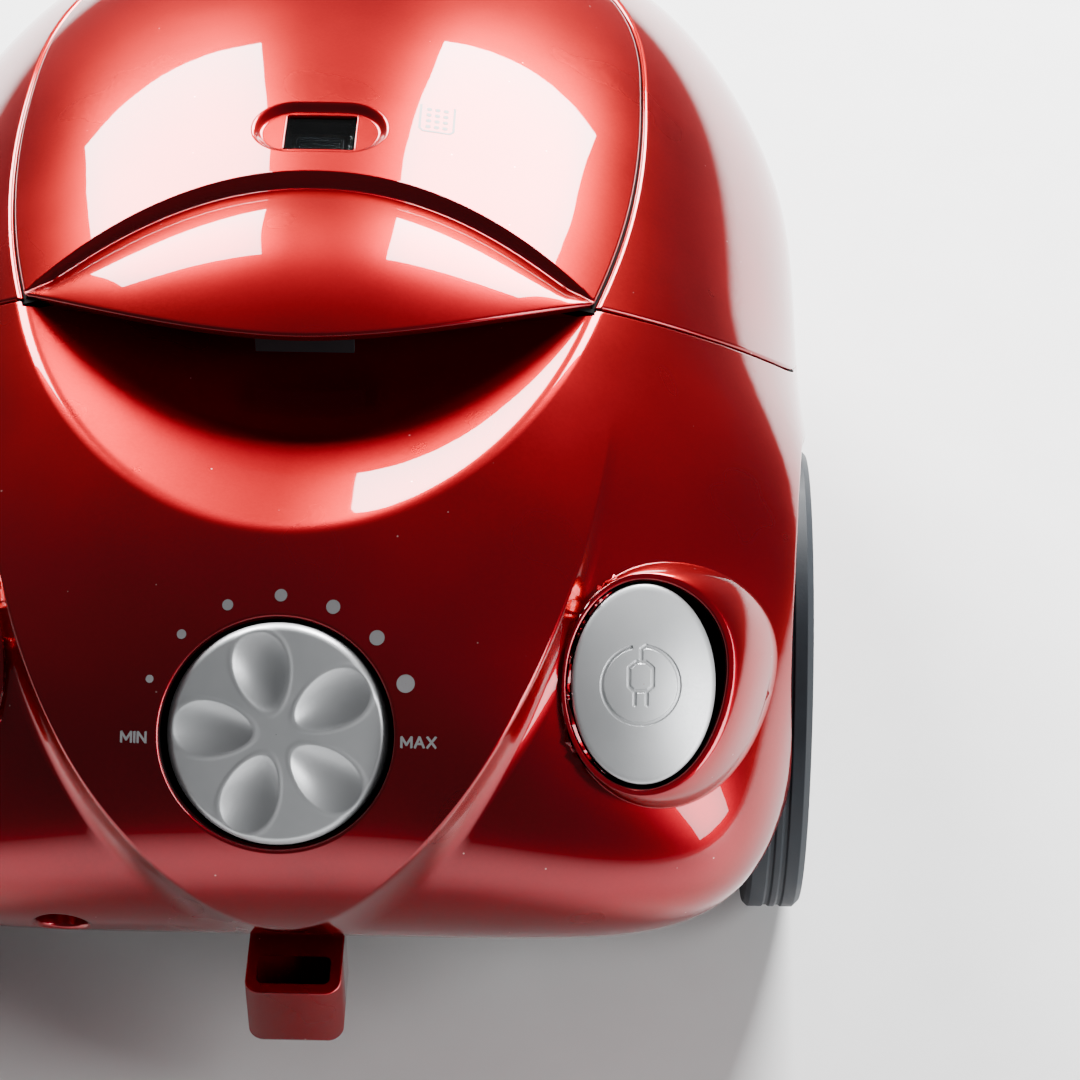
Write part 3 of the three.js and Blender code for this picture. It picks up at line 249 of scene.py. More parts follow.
@dataclass(frozen=True)
class LidPlan:
    """Outline of the bag lid seen from above, and the crease above its brow."""

    rear: float = -90.1
    rear_bow: float = 0.0045
    half_width: float = 94.9
    middle: float = 44.0
    taper: float = 12.5
    taper_length: float = 101.5
    taper_power: float = 2.2
    front: float = 105.2
    front_power: float = 3.0
    crease: float = -25.8
    crease_bow: float = 0.00406
    crease_power: float = 2.05

    def half_at(self, y: Array) -> Array:
        """Half width of the lid beside or behind its middle."""
        back = np.maximum(self.middle - np.asarray(y, float), 0.0) / self.taper_length
        return self.half_width - self.taper * back**self.taper_power

    def rear_edge(self, x: Array) -> Array:
        """y of the rear edge at x."""
        return self.rear + self.rear_bow * np.asarray(x, float) ** 2

    def crease_at(self, x: Array) -> Array:
        """y of the crease at x."""
        return self.crease - self.crease_bow * np.abs(x) ** self.crease_power

    def corner(self) -> tuple[float, float]:
        """Where the rear edge meets the side."""
        x = 82.0
        for _ in range(30):
            x = float(self.half_at(self.rear_edge(x)))
        return x, float(self.rear_edge(x))

    def outline(self, margin: float, front: float) -> tuple[Array, Array]:
        """Rear edge and the rest of the outline, as two open curves that meet at the corners.

        Args:
            margin: how far outside the lid's own edge the curve runs.
            front: reach of the front end ahead of the middle.

        Returns:
            (rear edge from left to right, side-front-side from right to left), in plan.
        """
        cx, cy = self.corner()
        xs = np.linspace(-cx - margin, cx + margin, 140)
        rear = np.stack([xs, self.rear_edge(xs) - margin], axis=1)
        ys = np.linspace(cy - margin, self.middle, 80)[:-1]
        side = np.stack([self.half_at(ys) + margin, ys], axis=1)
        turn = np.linspace(0.0, math.pi / 2, 220)
        power = 2.0 / self.front_power
        nose = np.stack([(self.half_width + margin) * np.cos(turn) ** power,
                         self.middle + front * np.sin(turn) ** power], axis=1)
        nose[-1, 0] = 0.0
        half = np.vstack([side, nose])
        mirror = half[:-1][::-1] * np.array([-1.0, 1.0])
        return rear, np.vstack([half, mirror])

    def contains(self, p: Array, margin: float, front: float) -> Array:
        """Whether points are inside the outline in plan."""
        x, y = np.abs(p[..., 0]), p[..., 1]
        behind = (x < self.half_at(y) + margin) & (y > self.rear_edge(x) - margin)
        reach = (x / (self.half_width + margin)) ** self.front_power
        reach = reach + (np.maximum(y - self.middle, 0.0) / front) ** self.front_power
        return np.where(y < self.middle, behind, reach < 1.0)


SWEEP = Sweep()
LID = LidPlan()


@dataclass(frozen=True)
class Shield:
    """The raised panel round the dial."""

    half_width: float = 88.0
    top: float = 90.0
    drop: float = 146.0
    power: float = 1.62
    lift: float = 8.0
    round_in: float = 1.3
    foot: float = 2.4

    def edge(self, u: Array, v: Array) -> Array:
        """Distance inside the panel's outline, negative outside."""
        a = np.abs(u) / self.half_width
        b = np.maximum(self.top - v, 0.0) / self.drop
        total = a**self.power + b**self.power
        gu = self.power * np.maximum(a, 1e-4) ** (self.power - 1.0) / self.half_width
        gv = self.power * np.maximum(b, 1e-4) ** (self.power - 1.0) / self.drop
        return (1.0 - total) / np.sqrt(gu**2 + gv**2)

    def rise(self, u: Array, v: Array) -> Array:
        """How far the panel stands out of the skin."""
        full = self.lift * smoothstep(self.top - v, 0.0, 120.0)
        foot = self.foot + 0.55 * full
        return full * crisp_step((self.edge(u, v) + foot) / (foot + self.round_in))

    def outline(self) -> Array:
        """The outline from the top left over the bottom to the top right."""
        turn = np.linspace(0.0, math.pi / 2, 400)
        power = 2.0 / self.power
        right = np.stack([self.half_width * np.cos(turn) ** power,
                          self.top - self.drop * np.sin(turn) ** power], 1)
        left = right[:-1] * np.array([-1.0, 1.0])
        return np.vstack([left, right[::-1]])


@dataclass(frozen=True)
class Scoop:
    """The finger scoop under the lid's brow."""

    half_width: float = 90.0
    height: float = 107.0
    centre: float = 161.7
    depth: float = 48.0
    rounding: float = 2.2

    def inside(self, u: Array, v: Array) -> tuple[Array, Array]:
        """(1 - reach, its slope): how far inside the rim, and how fast that grows per millimetre."""
        du, dv = u / self.half_width**2, (v - self.centre) / self.height**2
        reach = u * du + (v - self.centre) * dv
        slope = 2.0 * np.sqrt(du**2 + dv**2)
        return 1.0 - reach, np.maximum(slope, 1e-4)

    def sink(self, u: Array, v: Array) -> Array:
        """Depth of the scoop's floor below the skin."""
        inside, slope = self.inside(u, v)
        return self.depth * ramp(inside / slope, self.rounding) * slope

    def rim(self) -> Array:
        """The rim from left to right."""
        turn = np.linspace(-math.pi, 0.0, 500)
        return np.stack([self.half_width * np.cos(turn), self.centre + self.height * np.sin(turn)], 1)


@dataclass(frozen=True)
class Boss:
    """Collar of a push button: a slanted rim that eases out into the flank."""

    u: float = 97.0
    v: float = 14.5
    across: float = 19.5
    along: float = 26.8
    gap: float = 1.2
    rim: float = 1.6
    slope_u: float = 0.26
    slope_v: float = 0.2
    w: float = -14.5
    base_u: float = 102.4
    base_v: float = 14.0
    base_across: float = 27.6
    base_along: float = 33.2
    well: float = 21.0

    def plane(self, u: Array, v: Array) -> Array:
        """Height of the slanted rim plane."""
        return self.w - self.slope_u * (np.abs(u) - self.u) - self.slope_v * (v - self.v)

    def ring(self, t: float) -> tuple[float, float, float, float]:
        """Ellipse (u, v, across, along) of the collar at share t of the way out."""
        near = (self.u, self.v, self.across + self.gap + self.rim, self.along + self.gap + self.rim)
        far = (self.base_u, self.base_v, self.base_across, self.base_along)
        u, v, across, along = (a + (b - a) * t for a, b in zip(near, far))
        return u, v, across, along

    def share(self, u: Array, v: Array) -> Array:
        """Which ring of the collar passes through each point, from 0 to 1.6."""
        low, high = np.zeros_like(u), np.full_like(u, 1.6)
        for _ in range(22):
            t = (low + high) / 2.0
            cu, cv, a, b = self.ring(t)
            out = ((np.abs(u) - cu) / a) ** 2 + ((v - cv) / b) ** 2 > 1.0
            low, high = np.where(out, t, low), np.where(out, high, t)
        return (low + high) / 2.0

    def over(self, u: Array, v: Array, panel: Array) -> Array:
        """Height of the collar over a panel height, easing to nothing at its outline."""
        t = self.share(u, v)
        left = ramp(1.0 - t**1.35, 0.03)
        return (self.plane(u, v) - panel) * left

    def ellipse(self, grow: float, side: int, count: int = 110) -> Array:
        """The button's ellipse grown by that much, in (u, v)."""
        turn = np.linspace(0.0, 2 * math.pi, count, endpoint=False)
        return np.stack([side * (self.u + (self.across + grow) * np.cos(turn)),
                         self.v + (self.along + grow) * np.sin(turn)], 1)


SHIELD = Shield()
SCOOP = Scoop()
BOSS = Boss()


@dataclass
class Fender:
    """Swelling of the flank over the rear wheel, so that the body covers most of the tyre from behind."""

    y: float = -92.8
    z: float = 69.0
    radius: float = 72.5
    reach: float = 24.0
    inside: tuple[float, float] = (85.0, 118.0)
    angles: tuple[float, ...] = (10, 25, 40, 60, 75, 90, 105, 120, 135, 145, 155)
    sizes: tuple[float, ...] = (0, 0.6, 2.0, 4.9, 8.0, 10.2, 10.6, 8.0, 3.4, 0.9, 0)

    def swell(self, p: Array) -> Array:
        """How far out skin points move."""
        dy, dz = p[..., 1] - self.y, p[..., 2] - self.z
        far = np.maximum(np.hypot(dy, dz) - self.radius, 0.0)
        angle = np.degrees(np.arctan2(dz, dy))
        size = sum(np.interp(angle + shift, self.angles, self.sizes) for shift in (-9, -3, 3, 9)) / 4.0
        return size * np.exp(-((far / self.reach) ** 2)) * smoothstep(np.abs(p[..., 0]), *self.inside)

    def spread(self, skin: Array, points: Array, normals: Array) -> tuple[Array, Array]:
        """Moves finished points out over their skin points, and turns their normals to match."""
        side = np.sign(skin[..., 0])
        size, step = self.swell(skin), 0.3
        grow = np.stack([(self.swell(skin + e) - self.swell(skin - e)) / (2 * step)
                         for e in np.eye(3) * step], -1)
        lean = side * normals[..., 0] / (1.0 + side * grow[..., 0])
        moved = points + (side * size)[..., None] * np.array([1.0, 0.0, 0.0])
        return moved, unit(normals - grow * lean[..., None])


FENDER = Fender()


class HousingForm:
    """The lower housing's finished outer surface: skin, raised panel, scoop and button collars."""

    def lift(self, u: Array, v: Array, base: Array) -> Array:
        """Height added along the face direction to a skin height of base."""
        panel = base + SHIELD.rise(u, v) - SCOOP.sink(u, v)
        near = (np.abs(np.abs(u) - BOSS.u) < 50) & (np.abs(v - BOSS.v) < 55)
        panel[near] += BOSS.over(u[near], v[near], panel[near])
        return panel - base

    def height(self, u: Array, v: Array) -> Array:
        """Height of the finished surface over the face plane."""
        start = FACE.place(u, v, 0.0)
        base = FACE.read(SKIN.cross(start, np.broadcast_to(FACE.out, start.shape), 90.0, -170.0))[2]
        return base + self.lift(u, v, base)

    def surface(self, skin_points: Array) -> tuple[Array, Array]:
        """Finished points and unit normals over these skin points."""
        normals = SKIN.normal(skin_points)
        points = skin_points.copy()
        u, v, w = FACE.read(skin_points)
        out = normals @ FACE.out
        rear = (out > 0.1) & (v < 160)
        u, v, w, out, n = u[rear], v[rear], w[rear], out[rear], normals[rear]
        fade = smoothstep(out, 0.1, 0.24)
        du, dv = -n[:, 0] / out, -(n @ FACE.up) / out
        step = 0.12
        points[rear] += (self.lift(u, v, w) * fade)[:, None] * FACE.out
        by_u = (self.lift(u + step, v, w + du * step) - self.lift(u - step, v, w - du * step)) / (2 * step)
        by_v = (self.lift(u, v + step, w + dv * step) - self.lift(u, v - step, w - dv * step)) / (2 * step)
        tilt = by_u[:, None] * np.array([1.0, 0, 0]) + by_v[:, None] * FACE.up
        normals[rear] = unit(n - (out * fade)[:, None] * tilt)
        return FENDER.spread(skin_points, points, normals)


class LidForm:
    """The bag lid's finished outer surface: skin, crease, bulging brow and window recess."""

    step_height: float = 4.6
    bulge: float = 2.9
    recess: tuple[float, float, float] = (19.5, 11.9, -3.5)
    recess_depth: float = 2.2

    def brow(self, x: Array, y: Array) -> Array:
        """Rise of the brow over the skin behind the crease, and the step down to it."""
        crease, edge = LID.crease_at(x), LID.rear_edge(x)
        slope = LID.crease_bow * LID.crease_power * np.abs(x) ** (LID.crease_power - 1.0)
        behind = (crease - y) / np.sqrt(1.0 + slope**2)
        width = np.maximum(crease - edge, 0.6)
        share = np.clip((crease - y) / width, 0.0, 1.0)
        size = np.clip(width / 64.0, 0.0, 1.0)
        low = self.step_height * np.clip(width / 12.0, 0.0, 1.0) * (1.0 - share) ** 1.7
        rise = self.bulge * size**1.1 * np.sin(math.pi * share) - low
        run = 1.0 + 3.6 * np.clip(width / 14.0, 0.12, 1.0)
        down = 1.0 - crisp_step(1.0 - (behind + 1.0) / run)
        return rise * down

    def recess_edge(self, x: Array, y: Array) -> Array:
        """Distance inside the window's oblong recess."""
        half, radius, middle = self.recess
        dx = np.maximum(np.abs(x) - (half - radius), 0.0)
        return radius - np.hypot(dx, y - middle)

    def height(self, x: Array, y: Array) -> Array:
        """z of the finished surface at (x, y)."""
        start = np.stack([x, y, np.zeros_like(x)], axis=-1)
        way = np.broadcast_to(np.array([0.0, 0.0, 1.0]), start.shape)
        z = SKIN.cross(start, way, 260.0, SKIN.centre_z)[..., 2]
        sunk = self.recess_depth * smoothstep(self.recess_edge(x, y), -0.9, 2.6)
        return z + self.brow(x, y) - sunk

    def surface(self, skin_points: Array) -> tuple[Array, Array]:
        """Finished points and unit normals over these skin points."""
        x, y = skin_points[..., 0], skin_points[..., 1]
        step = 0.12
        points = np.stack([x, y, self.height(x, y)], axis=-1)
        dx = (self.height(x + step, y) - self.height(x - step, y)) / (2 * step)
        dy = (self.height(x, y + step) - self.height(x, y - step)) / (2 * step)
        return points, unit(np.stack([-dx, -dy, np.ones_like(dx)], axis=-1))


class PlainForm:
    """A surface that is just the skin."""

    def surface(self, skin_points: Array) -> tuple[Array, Array]:
        """The skin points and their normals, with the fender's share."""
        return FENDER.spread(skin_points, skin_points.copy(), SKIN.normal(skin_points))


# ---------------------------------------------------------------- meshing of moulded panels
@dataclass(frozen=True)
class Chart:
    """Flat map of the body's skin: angle from an axis against direction round it."""

    axis: tuple[float, float, float]

    @property
    def basis(self) -> Array:
        """Rows: two directions across the axis, and the axis."""
        c = unit(np.array(self.axis, float))
        a = unit(np.cross([0.0, 1.0, 0.0] if abs(c[1]) < 0.9 else [1.0, 0.0, 0.0], c))
        return np.stack([a, np.cross(c, a), c])

    def scale(self) -> Array:
        """Half axes that make the body about round."""
        return np.array([SKIN.half_width, 205.0, 95.0])

    def flat(self, p: Array) -> Array:
        """Map coordinates of points."""
        d = unit((p - SKIN.centre) / self.scale()) @ self.basis.T
        angle = np.arccos(np.clip(d[..., 2], -1.0, 1.0))
        across = np.maximum(np.hypot(d[..., 0], d[..., 1]), 1e-12)
        return d[..., :2] / across[..., None] * angle[..., None] * 100.0

    def skin(self, q: Array) -> Array:
        """Skin points of map coordinates."""
        angle = np.linalg.norm(q, axis=-1) / 100.0
        side = q / np.maximum(angle * 100.0, 1e-12)[..., None]
        d = np.concatenate([side * np.sin(angle)[..., None], np.cos(angle)[..., None]], axis=-1)
        return SKIN.radial((d @ self.basis) * self.scale())


@dataclass
class Rim:
    """An edge of a panel: a line on the skin with the panel on its left, seen from outside.

    Attributes:
        line: points on the skin.
        closed: True for a loop.
        radius: rounding of the edge.
        wall: how far the edge face goes in, 0 for none.
        drop: direction of the edge face at each point; None for straight into the skin.
        fan: offsets of the extra rows of points beside the edge.
    """

    line: Array
    closed: bool = False
    radius: float = 0.9
    wall: float = 2.4
    drop: Optional[Array] = None
    fan: tuple[float, ...] = (0.12, 0.28, 0.5, 0.75, 1.05, 1.6, 2.6, 4.2)

    def inward(self) -> Array:
        """Unit directions into the panel, along the skin."""
        ahead = np.roll(self.line, -1, 0) - np.roll(self.line, 1, 0)
        if not self.closed:
            ahead[0] = self.line[1] - self.line[0]
            ahead[-1] = self.line[-1] - self.line[-2]
        return unit(np.cross(SKIN.normal(self.line), ahead))


@dataclass
class Guide:
    """A line that the mesh follows without being cut there, with rows beside it."""

    line: Array
    closed: bool = False
    offsets: tuple[float, ...] = (0.0,)

    def rows(self) -> list[Array]:
        """The rows of points beside the line."""
        side = Rim(self.line, self.closed).inward()
        return [SKIN.onto(self.line + side * offset) for offset in self.offsets]


class PanelMesher:
    """Makes the mesh of one panel cut from the skin."""

    def __init__(self, chart: Chart, form: object, keep: Callable[[Array], Array], rims: Sequence[Rim],
                 guides: Sequence[Guide], spacing: float,
                 fine: Optional[Callable[[Array], Array]] = None) -> None:
        """Args:
            chart: the flat map used for the triangles.
            form: gives finished points and normals over skin points.
            keep: whether skin points are in the panel.
            rims: the panel's edges.
            guides: lines that the mesh follows.
            spacing: distance between plain points.
            fine: where plain points are twice as close.
        """
        self.chart, self.form, self.keep = chart, form, keep
        self.rims, self.guides, self.spacing, self.fine = list(rims), list(guides), spacing, fine

    def scattered(self, spacing: float) -> Array:
        """Skin points spread evenly over the whole body in a golden spiral."""
        count = int(290000.0 / spacing**2)
        k = np.arange(count) + 0.5
        height = 1.0 - 2.0 * k / count
        turn = k * math.pi * (3.0 - math.sqrt(5.0))
        ring = np.sqrt(1.0 - height**2)
        way = np.stack([ring * np.cos(turn), ring * np.sin(turn), height], 1) * self.chart.scale()
        return SKIN.radial(way)

    def gather(self) -> tuple[Array, list[tuple[int, int]]]:
        """All skin points of the mesh, and the edges it has to keep."""
        blocks, edges, count = [], [], 0
        taken = KDTree(400000)
        held = 0
        rows: list[tuple[Array, bool, float, bool]] = []
        for rim in self.rims:
            rows.append((rim.line, rim.closed, 0.0, True))
        for rim in self.rims:
            side = rim.inward()
            rows.extend((SKIN.onto(rim.line + side * d), rim.closed, d, False) for d in rim.fan)
        for guide in self.guides:
            rows.extend((row, guide.closed, 0.7, False) for row in guide.rows())
        edge_tree = KDTree(sum(len(r.line) for r in self.rims) or 1)
        for i, p in enumerate(np.vstack([r.line for r in self.rims])):
            edge_tree.insert(p, i)
        edge_tree.balance()
        placed: list[Array] = []
        for line, closed, offset, is_rim in rows:
            good = np.ones(len(line), bool)
            if not is_rim:
                good &= self.keep(line)
                clear = np.array([edge_tree.find(p)[2] for p in line])
                good &= clear > max(0.6 * offset, 0.08) if offset else clear > 0.3
                if placed:
                    near = self._distance(placed, line)
                    good &= near > (0.09 if offset < 0.5 else 0.22)
            index = np.full(len(line), -1)
            index[good] = np.arange(good.sum()) + count
            blocks.append(line[good])
            pairs = zip(index, np.roll(index, -1)) if closed else zip(index[:-1], index[1:])
            edges.extend((int(a), int(b)) for a, b in pairs if a >= 0 and b >= 0)
            count += int(good.sum())
            placed.append(line[good])
        plain = self.scattered(self.spacing)
        plain = plain[self.keep(plain)]
        plain = plain[self._distance(placed, plain) > self.spacing * 0.55]
        blocks.append(plain)
        if self.fine is not None:
            dense = self.scattered(self.spacing / 2.0)
            dense = dense[self.keep(dense)]
            dense = dense[self.fine(dense)]
            dense = dense[self._distance([*placed, plain], dense) > self.spacing * 0.27]
            blocks.append(dense)
        return np.vstack(blocks), edges

    def _distance(self, placed: Sequence[Array], points: Array) -> Array:
        """Distance of points from the nearest placed one."""
        every = np.vstack(placed)
        tree = KDTree(len(every))
        for i, p in enumerate(every):
            tree.insert(p, i)
        tree.balance()
        return np.array([tree.find(p)[2] for p in points]) if len(points) else np.zeros(0)

    def rounded(self, skin_points: Array) -> tuple[Array, Array]:
        """Finished points and normals with the panel's edges rounded over."""
        points, normals = self.form.surface(skin_points)
        for rim in self.rims:
            side = rim.inward()
            tree = KDTree(len(rim.line))
            for i, p in enumerate(rim.line):
                tree.insert(p, i)
            tree.balance()
            found = [tree.find(p) for p in skin_points]
            index = np.array([f[1] for f in found])
            away = np.abs(np.einsum("ij,ij->i", skin_points - rim.line[index], side[index]))
            far = np.array([f[2] for f in found])
            close = (far < rim.radius * 1.6 + 1.2) & (away < rim.radius)
            if not close.any() or rim.radius <= 0:
                continue
            share = 1.0 - away[close] / rim.radius
            into = -normals[close]
            points[close] += into * (rim.radius * (1.0 - np.sqrt(np.maximum(1.0 - share**2, 0.0))))[:, None]
            out = unit(-side[index[close]] - normals[close] * np.einsum(
                "ij,ij->i", -side[index[close]], normals[close])[:, None])
            normals[close] = unit(normals[close] * np.sqrt(np.maximum(1.0 - share**2, 0.0))[:, None]
                                  + out * share[:, None])
        return points, normals

    def triangles(self) -> tuple[Array, Array]:
        """(skin points, triangles) of the panel."""
        points, edges = self.gather()
        flat = self.chart.flat(points)
        verts, _, faces, _, _, _ = delaunay_2d_cdt([Vector(q) for q in flat], edges, [], 0, 1e-7)
        grid = np.array([tuple(v) for v in verts])
        skin_points = self.chart.skin(grid)
        tris = np.array([f for f in faces if len(f) == 3])
        middle = self.chart.skin(grid[tris].mean(axis=1))
        tris = tris[self.keep(middle)]
        a, b, c = (skin_points[tris[:, k]] for k in range(3))
        normal = np.cross(b - a, c - a)
        flip = np.einsum("ij,ij->i", normal, SKIN.normal(middle[self.keep(middle)])) < 0
        tris[flip] = tris[flip][:, ::-1]
        used = np.unique(tris)
        place = np.full(len(skin_points), -1)
        place[used] = np.arange(len(used))
        return skin_points[used], place[tris]

    def build(self, thickness: float = 2.4, inner: bool = True) -> "Shape":
        """The panel's outer surface, edge faces and inner surface."""
        skin_points, tris = self.triangles()
        points, normals = self.rounded(skin_points)
        shape = Shape()
        shape.add(points, normals, tris)
        for rim in self.rims:
            if rim.wall:
                shape.merge(self.edge_face(rim, thickness))
        if inner:
            base, outward = self.form.surface(skin_points)
            shape.add(base - outward * thickness, -outward, tris[:, ::-1])
        return shape

    def edge_face(self, rim: Rim, thickness: float) -> "Shape":
        """The strip that closes the panel's thickness along one rim."""
        top, _ = self.rounded(rim.line)
        base, outward = self.form.surface(rim.line)
        side = -rim.inward()
        side = unit(side - outward * np.einsum("ij,ij->i", side, outward)[:, None])
        way = -outward if rim.drop is None else rim.drop
        low = base + way * max(rim.wall, thickness)
        rows = [top, top * 0.5 + low * 0.5, low]
        return strip(rows, [side] * 3, rim.closed)


@dataclass
class Shape:
    """Points, normals and faces of a mesh in the making."""

    points: list[Array] = field(default_factory=list)
    normals: list[Array] = field(default_factory=list)
    faces: list[Array] = field(default_factory=list)
    count: int = 0

    def add(self, points: Array, normals: Array, faces: Array) -> "Shape":
        """Adds a block of points with their normals and the faces between them."""
        self.points.append(np.asarray(points, float))
        self.normals.append(np.asarray(normals, float))
        self.faces.extend(list(np.asarray(faces) + self.count) if len(faces) else [])
        self.count += len(points)
        return self

    def merge(self, other: "Shape") -> "Shape":
        """Adds another shape's blocks."""
        offset = self.count
        self.points.extend(other.points)
        self.normals.extend(other.normals)
        self.faces.extend([f + offset for f in other.faces])
        self.count += other.count
        return self

    def mesh(self, name: str, material: Material) -> bpy.types.Object:
        """Makes the Blender object, in metres, with these normals."""
        points = np.vstack(self.points) * MM
        data = bpy.data.meshes.new(name)
        data.from_pydata([tuple(p) for p in points], [], [tuple(int(i) for i in f) for f in self.faces])
        data.polygons.foreach_set("use_smooth", [True] * len(data.polygons))
        data.normals_split_custom_set_from_vertices([tuple(n) for n in np.vstack(self.normals)])
        data.materials.append(material)
        made = bpy.data.objects.new(name, data)
        bpy.context.scene.collection.objects.link(made)
        return made


def strip(rows: Sequence[Array], normals: Sequence[Array], closed: bool) -> Shape:
    """Quads between rows of equally many points, turned to agree with their normals."""
    count = len(rows[0])
    quads = []
    for r in range(len(rows) - 1):
        for i in range(count if closed else count - 1):
            j = (i + 1) % count
            quads.append((r * count + i, (r + 1) * count + i, (r + 1) * count + j, r * count + j))
    quads = np.array(quads)
    points, ns = np.vstack(rows), np.vstack(normals)
    a, b, c = points[quads[:, 0]], points[quads[:, 1]], points[quads[:, 2]]
    if np.einsum("ij,ij->i", np.cross(b - a, c - a), ns[quads[:, 0]]).sum() < 0:
        quads = quads[:, ::-1]
    return Shape().add(points, ns, quads)


def on_skin_from_face(uv: Array) -> Array:
    """Skin points behind face coordinates (n, 2)."""
    start = FACE.place(uv[:, 0], uv[:, 1], 0.0)
    return SKIN.cross(start, np.broadcast_to(FACE.out, start.shape), 90.0, -170.0)


def on_skin_from_side(yz: Array, side: int) -> Array:
    """Skin points beside (y, z) places, on the right (1) or left (-1)."""
    start = np.stack([np.zeros(len(yz)), yz[:, 0], yz[:, 1]], axis=1)
    way = np.broadcast_to(np.array([float(side), 0.0, 0.0]), start.shape)
    return SKIN.cross(start, way, 220.0, 0.0)


def on_skin_from_above(xy: Array) -> Array:
    """Skin points above (x, y) places."""
    start = np.stack([xy[:, 0], xy[:, 1], np.zeros(len(xy))], axis=1)
    return SKIN.cross(start, np.broadcast_to(np.array([0.0, 0.0, 1.0]), start.shape), 260.0, SKIN.centre_z)


def level_line(z: float, count: int = 720) -> Array:
    """The skin's closed outline at one height, anticlockwise seen from above."""
    turn = np.linspace(0.0, 2 * math.pi, count, endpoint=False)
    way = np.stack([145.0 * np.cos(turn), 210.0 * np.sin(turn), np.zeros(count)], axis=1)
    start = np.broadcast_to(np.array([0.0, SKIN.centre_y, z]), way.shape)
    return SKIN.cross(start, unit(way), 400.0, 0.0)


def seam_line(shift: float, rear_y: float) -> Array:
    """The parting line on the skin, from the left rear round the front to the right rear.

    Args:
        shift: offset of the line, positive up and ahead.
        rear_y: where the line starts and ends.

    Returns:
        Skin points.
    """
    ys = rear_y + (230.0 - rear_y) * np.linspace(0.0, 1.0, 900)
    slope = -SWEEP.rise / SWEEP.run * np.exp(-(ys - SWEEP.start) / SWEEP.run)
    length = np.sqrt(1.0 + slope**2)
    yz = np.stack([ys - slope / length * shift, SWEEP.height(ys) + shift / length], axis=1)
    middle = np.stack([np.zeros(len(yz)), yz[:, 0], yz[:, 1]], axis=1)
    inside = SKIN.level(middle) < 0
    last = int(np.argmin(inside)) if not inside.all() else len(yz)
    low, high = yz[last - 1], yz[last]
    for _ in range(30):
        mid = (low + high) / 2.0
        if SKIN.level(np.array([0.0, mid[0], mid[1]])) < 0:
            low = mid
        else:
            high = mid
    extra = yz[last - 1] + (low - yz[last - 1]) * (1.0 - np.linspace(1.0, 0.0, 60)[:, None] ** 2)
    right = on_skin_from_side(np.vstack([yz[:last], extra[1:]]), 1)
    right[-1, 0] = 0.0
    return np.vstack([right * np.array([-1.0, 1, 1]), right[:-1][::-1]])


def facing(line: Array, keep: Callable[[Array], Array], **settings: object) -> Rim:
    """A rim whose panel is on its left, with the line turned round if needed."""
    rim = Rim(line, **settings)
    probe = SKIN.onto(rim.line + rim.inward() * 1.5)
    if keep(probe).mean() < 0.5:
        rim = Rim(line[::-1].copy(), **settings)
    return rim


@dataclass
class WheelArch:
    """Pocket for a rear wheel in the housing's flank."""

    y: float = -92.8
    z: float = 69.0
    radius: float = 72.5
    floor_x: float = 126.4

    def contains(self, p: Array) -> Array:
        """Whether skin points lie in either pocket."""
        near = np.hypot(p[..., 1] - self.y, p[..., 2] - self.z) < self.radius
        return near & (np.abs(p[..., 0]) > self.floor_x)

    def curves(self, side: int) -> tuple[Array, Array]:
        """(arc, lower line) of the pocket's edge on one side, which together close a loop."""
        turn = np.linspace(-math.pi / 2, 1.5 * math.pi, 2881)
        yz = np.stack([self.y + self.radius * np.cos(turn), self.z + self.radius * np.sin(turn)], axis=1)
        x = on_skin_from_side(yz, 1)[:, 0]
        good = np.flatnonzero(x > self.floor_x)
        arc = resample(on_skin_from_side(yz[good[0]:good[-1] + 1], side), 1.6)
        arc = on_skin_from_side(arc[:, 1:], side)
        ys = np.linspace(arc[-1, 1], arc[0, 1], 90)
        start = np.stack([np.full(len(ys), side * self.floor_x), ys, np.full(len(ys), SKIN.centre_z)], axis=1)
        low = SKIN.cross(start, np.broadcast_to(np.array([0.0, 0.0, -1.0]), start.shape), 90.0, 0.0)
        low[0], low[-1] = arc[-1], arc[0]
        return arc, resample(low, 1.6)


ARCH = WheelArch()


@dataclass
class SideVent:
    """Stadium-shaped opening in each front flank."""

    y: float = 22.0
    z: float = 66.0
    length: float = 56.0
    height: float = 22.0

    def distance(self, p: Array) -> Array:
        """Distance outside the opening in side view."""
        half = (self.length - self.height) / 2.0
        dy = np.maximum(np.abs(p[..., 1] - self.y) - half, 0.0)
        return np.hypot(dy, p[..., 2] - self.z) - self.height / 2.0

    def outline(self, grow: float, count: int = 120) -> Array:
        """The opening's outline in (y, z)."""
        half, radius = (self.length - self.height) / 2.0, self.height / 2.0 + grow
        turn = np.linspace(-math.pi / 2, math.pi / 2, count // 2)
        front = np.stack([self.y + half + radius * np.cos(turn), self.z + radius * np.sin(turn)], 1)
        back = np.stack([self.y - half - radius * np.cos(turn), self.z - radius * np.sin(turn)], 1)
        return resample(np.vstack([front, back]), 1.3, closed=True)


VENT = SideVent()


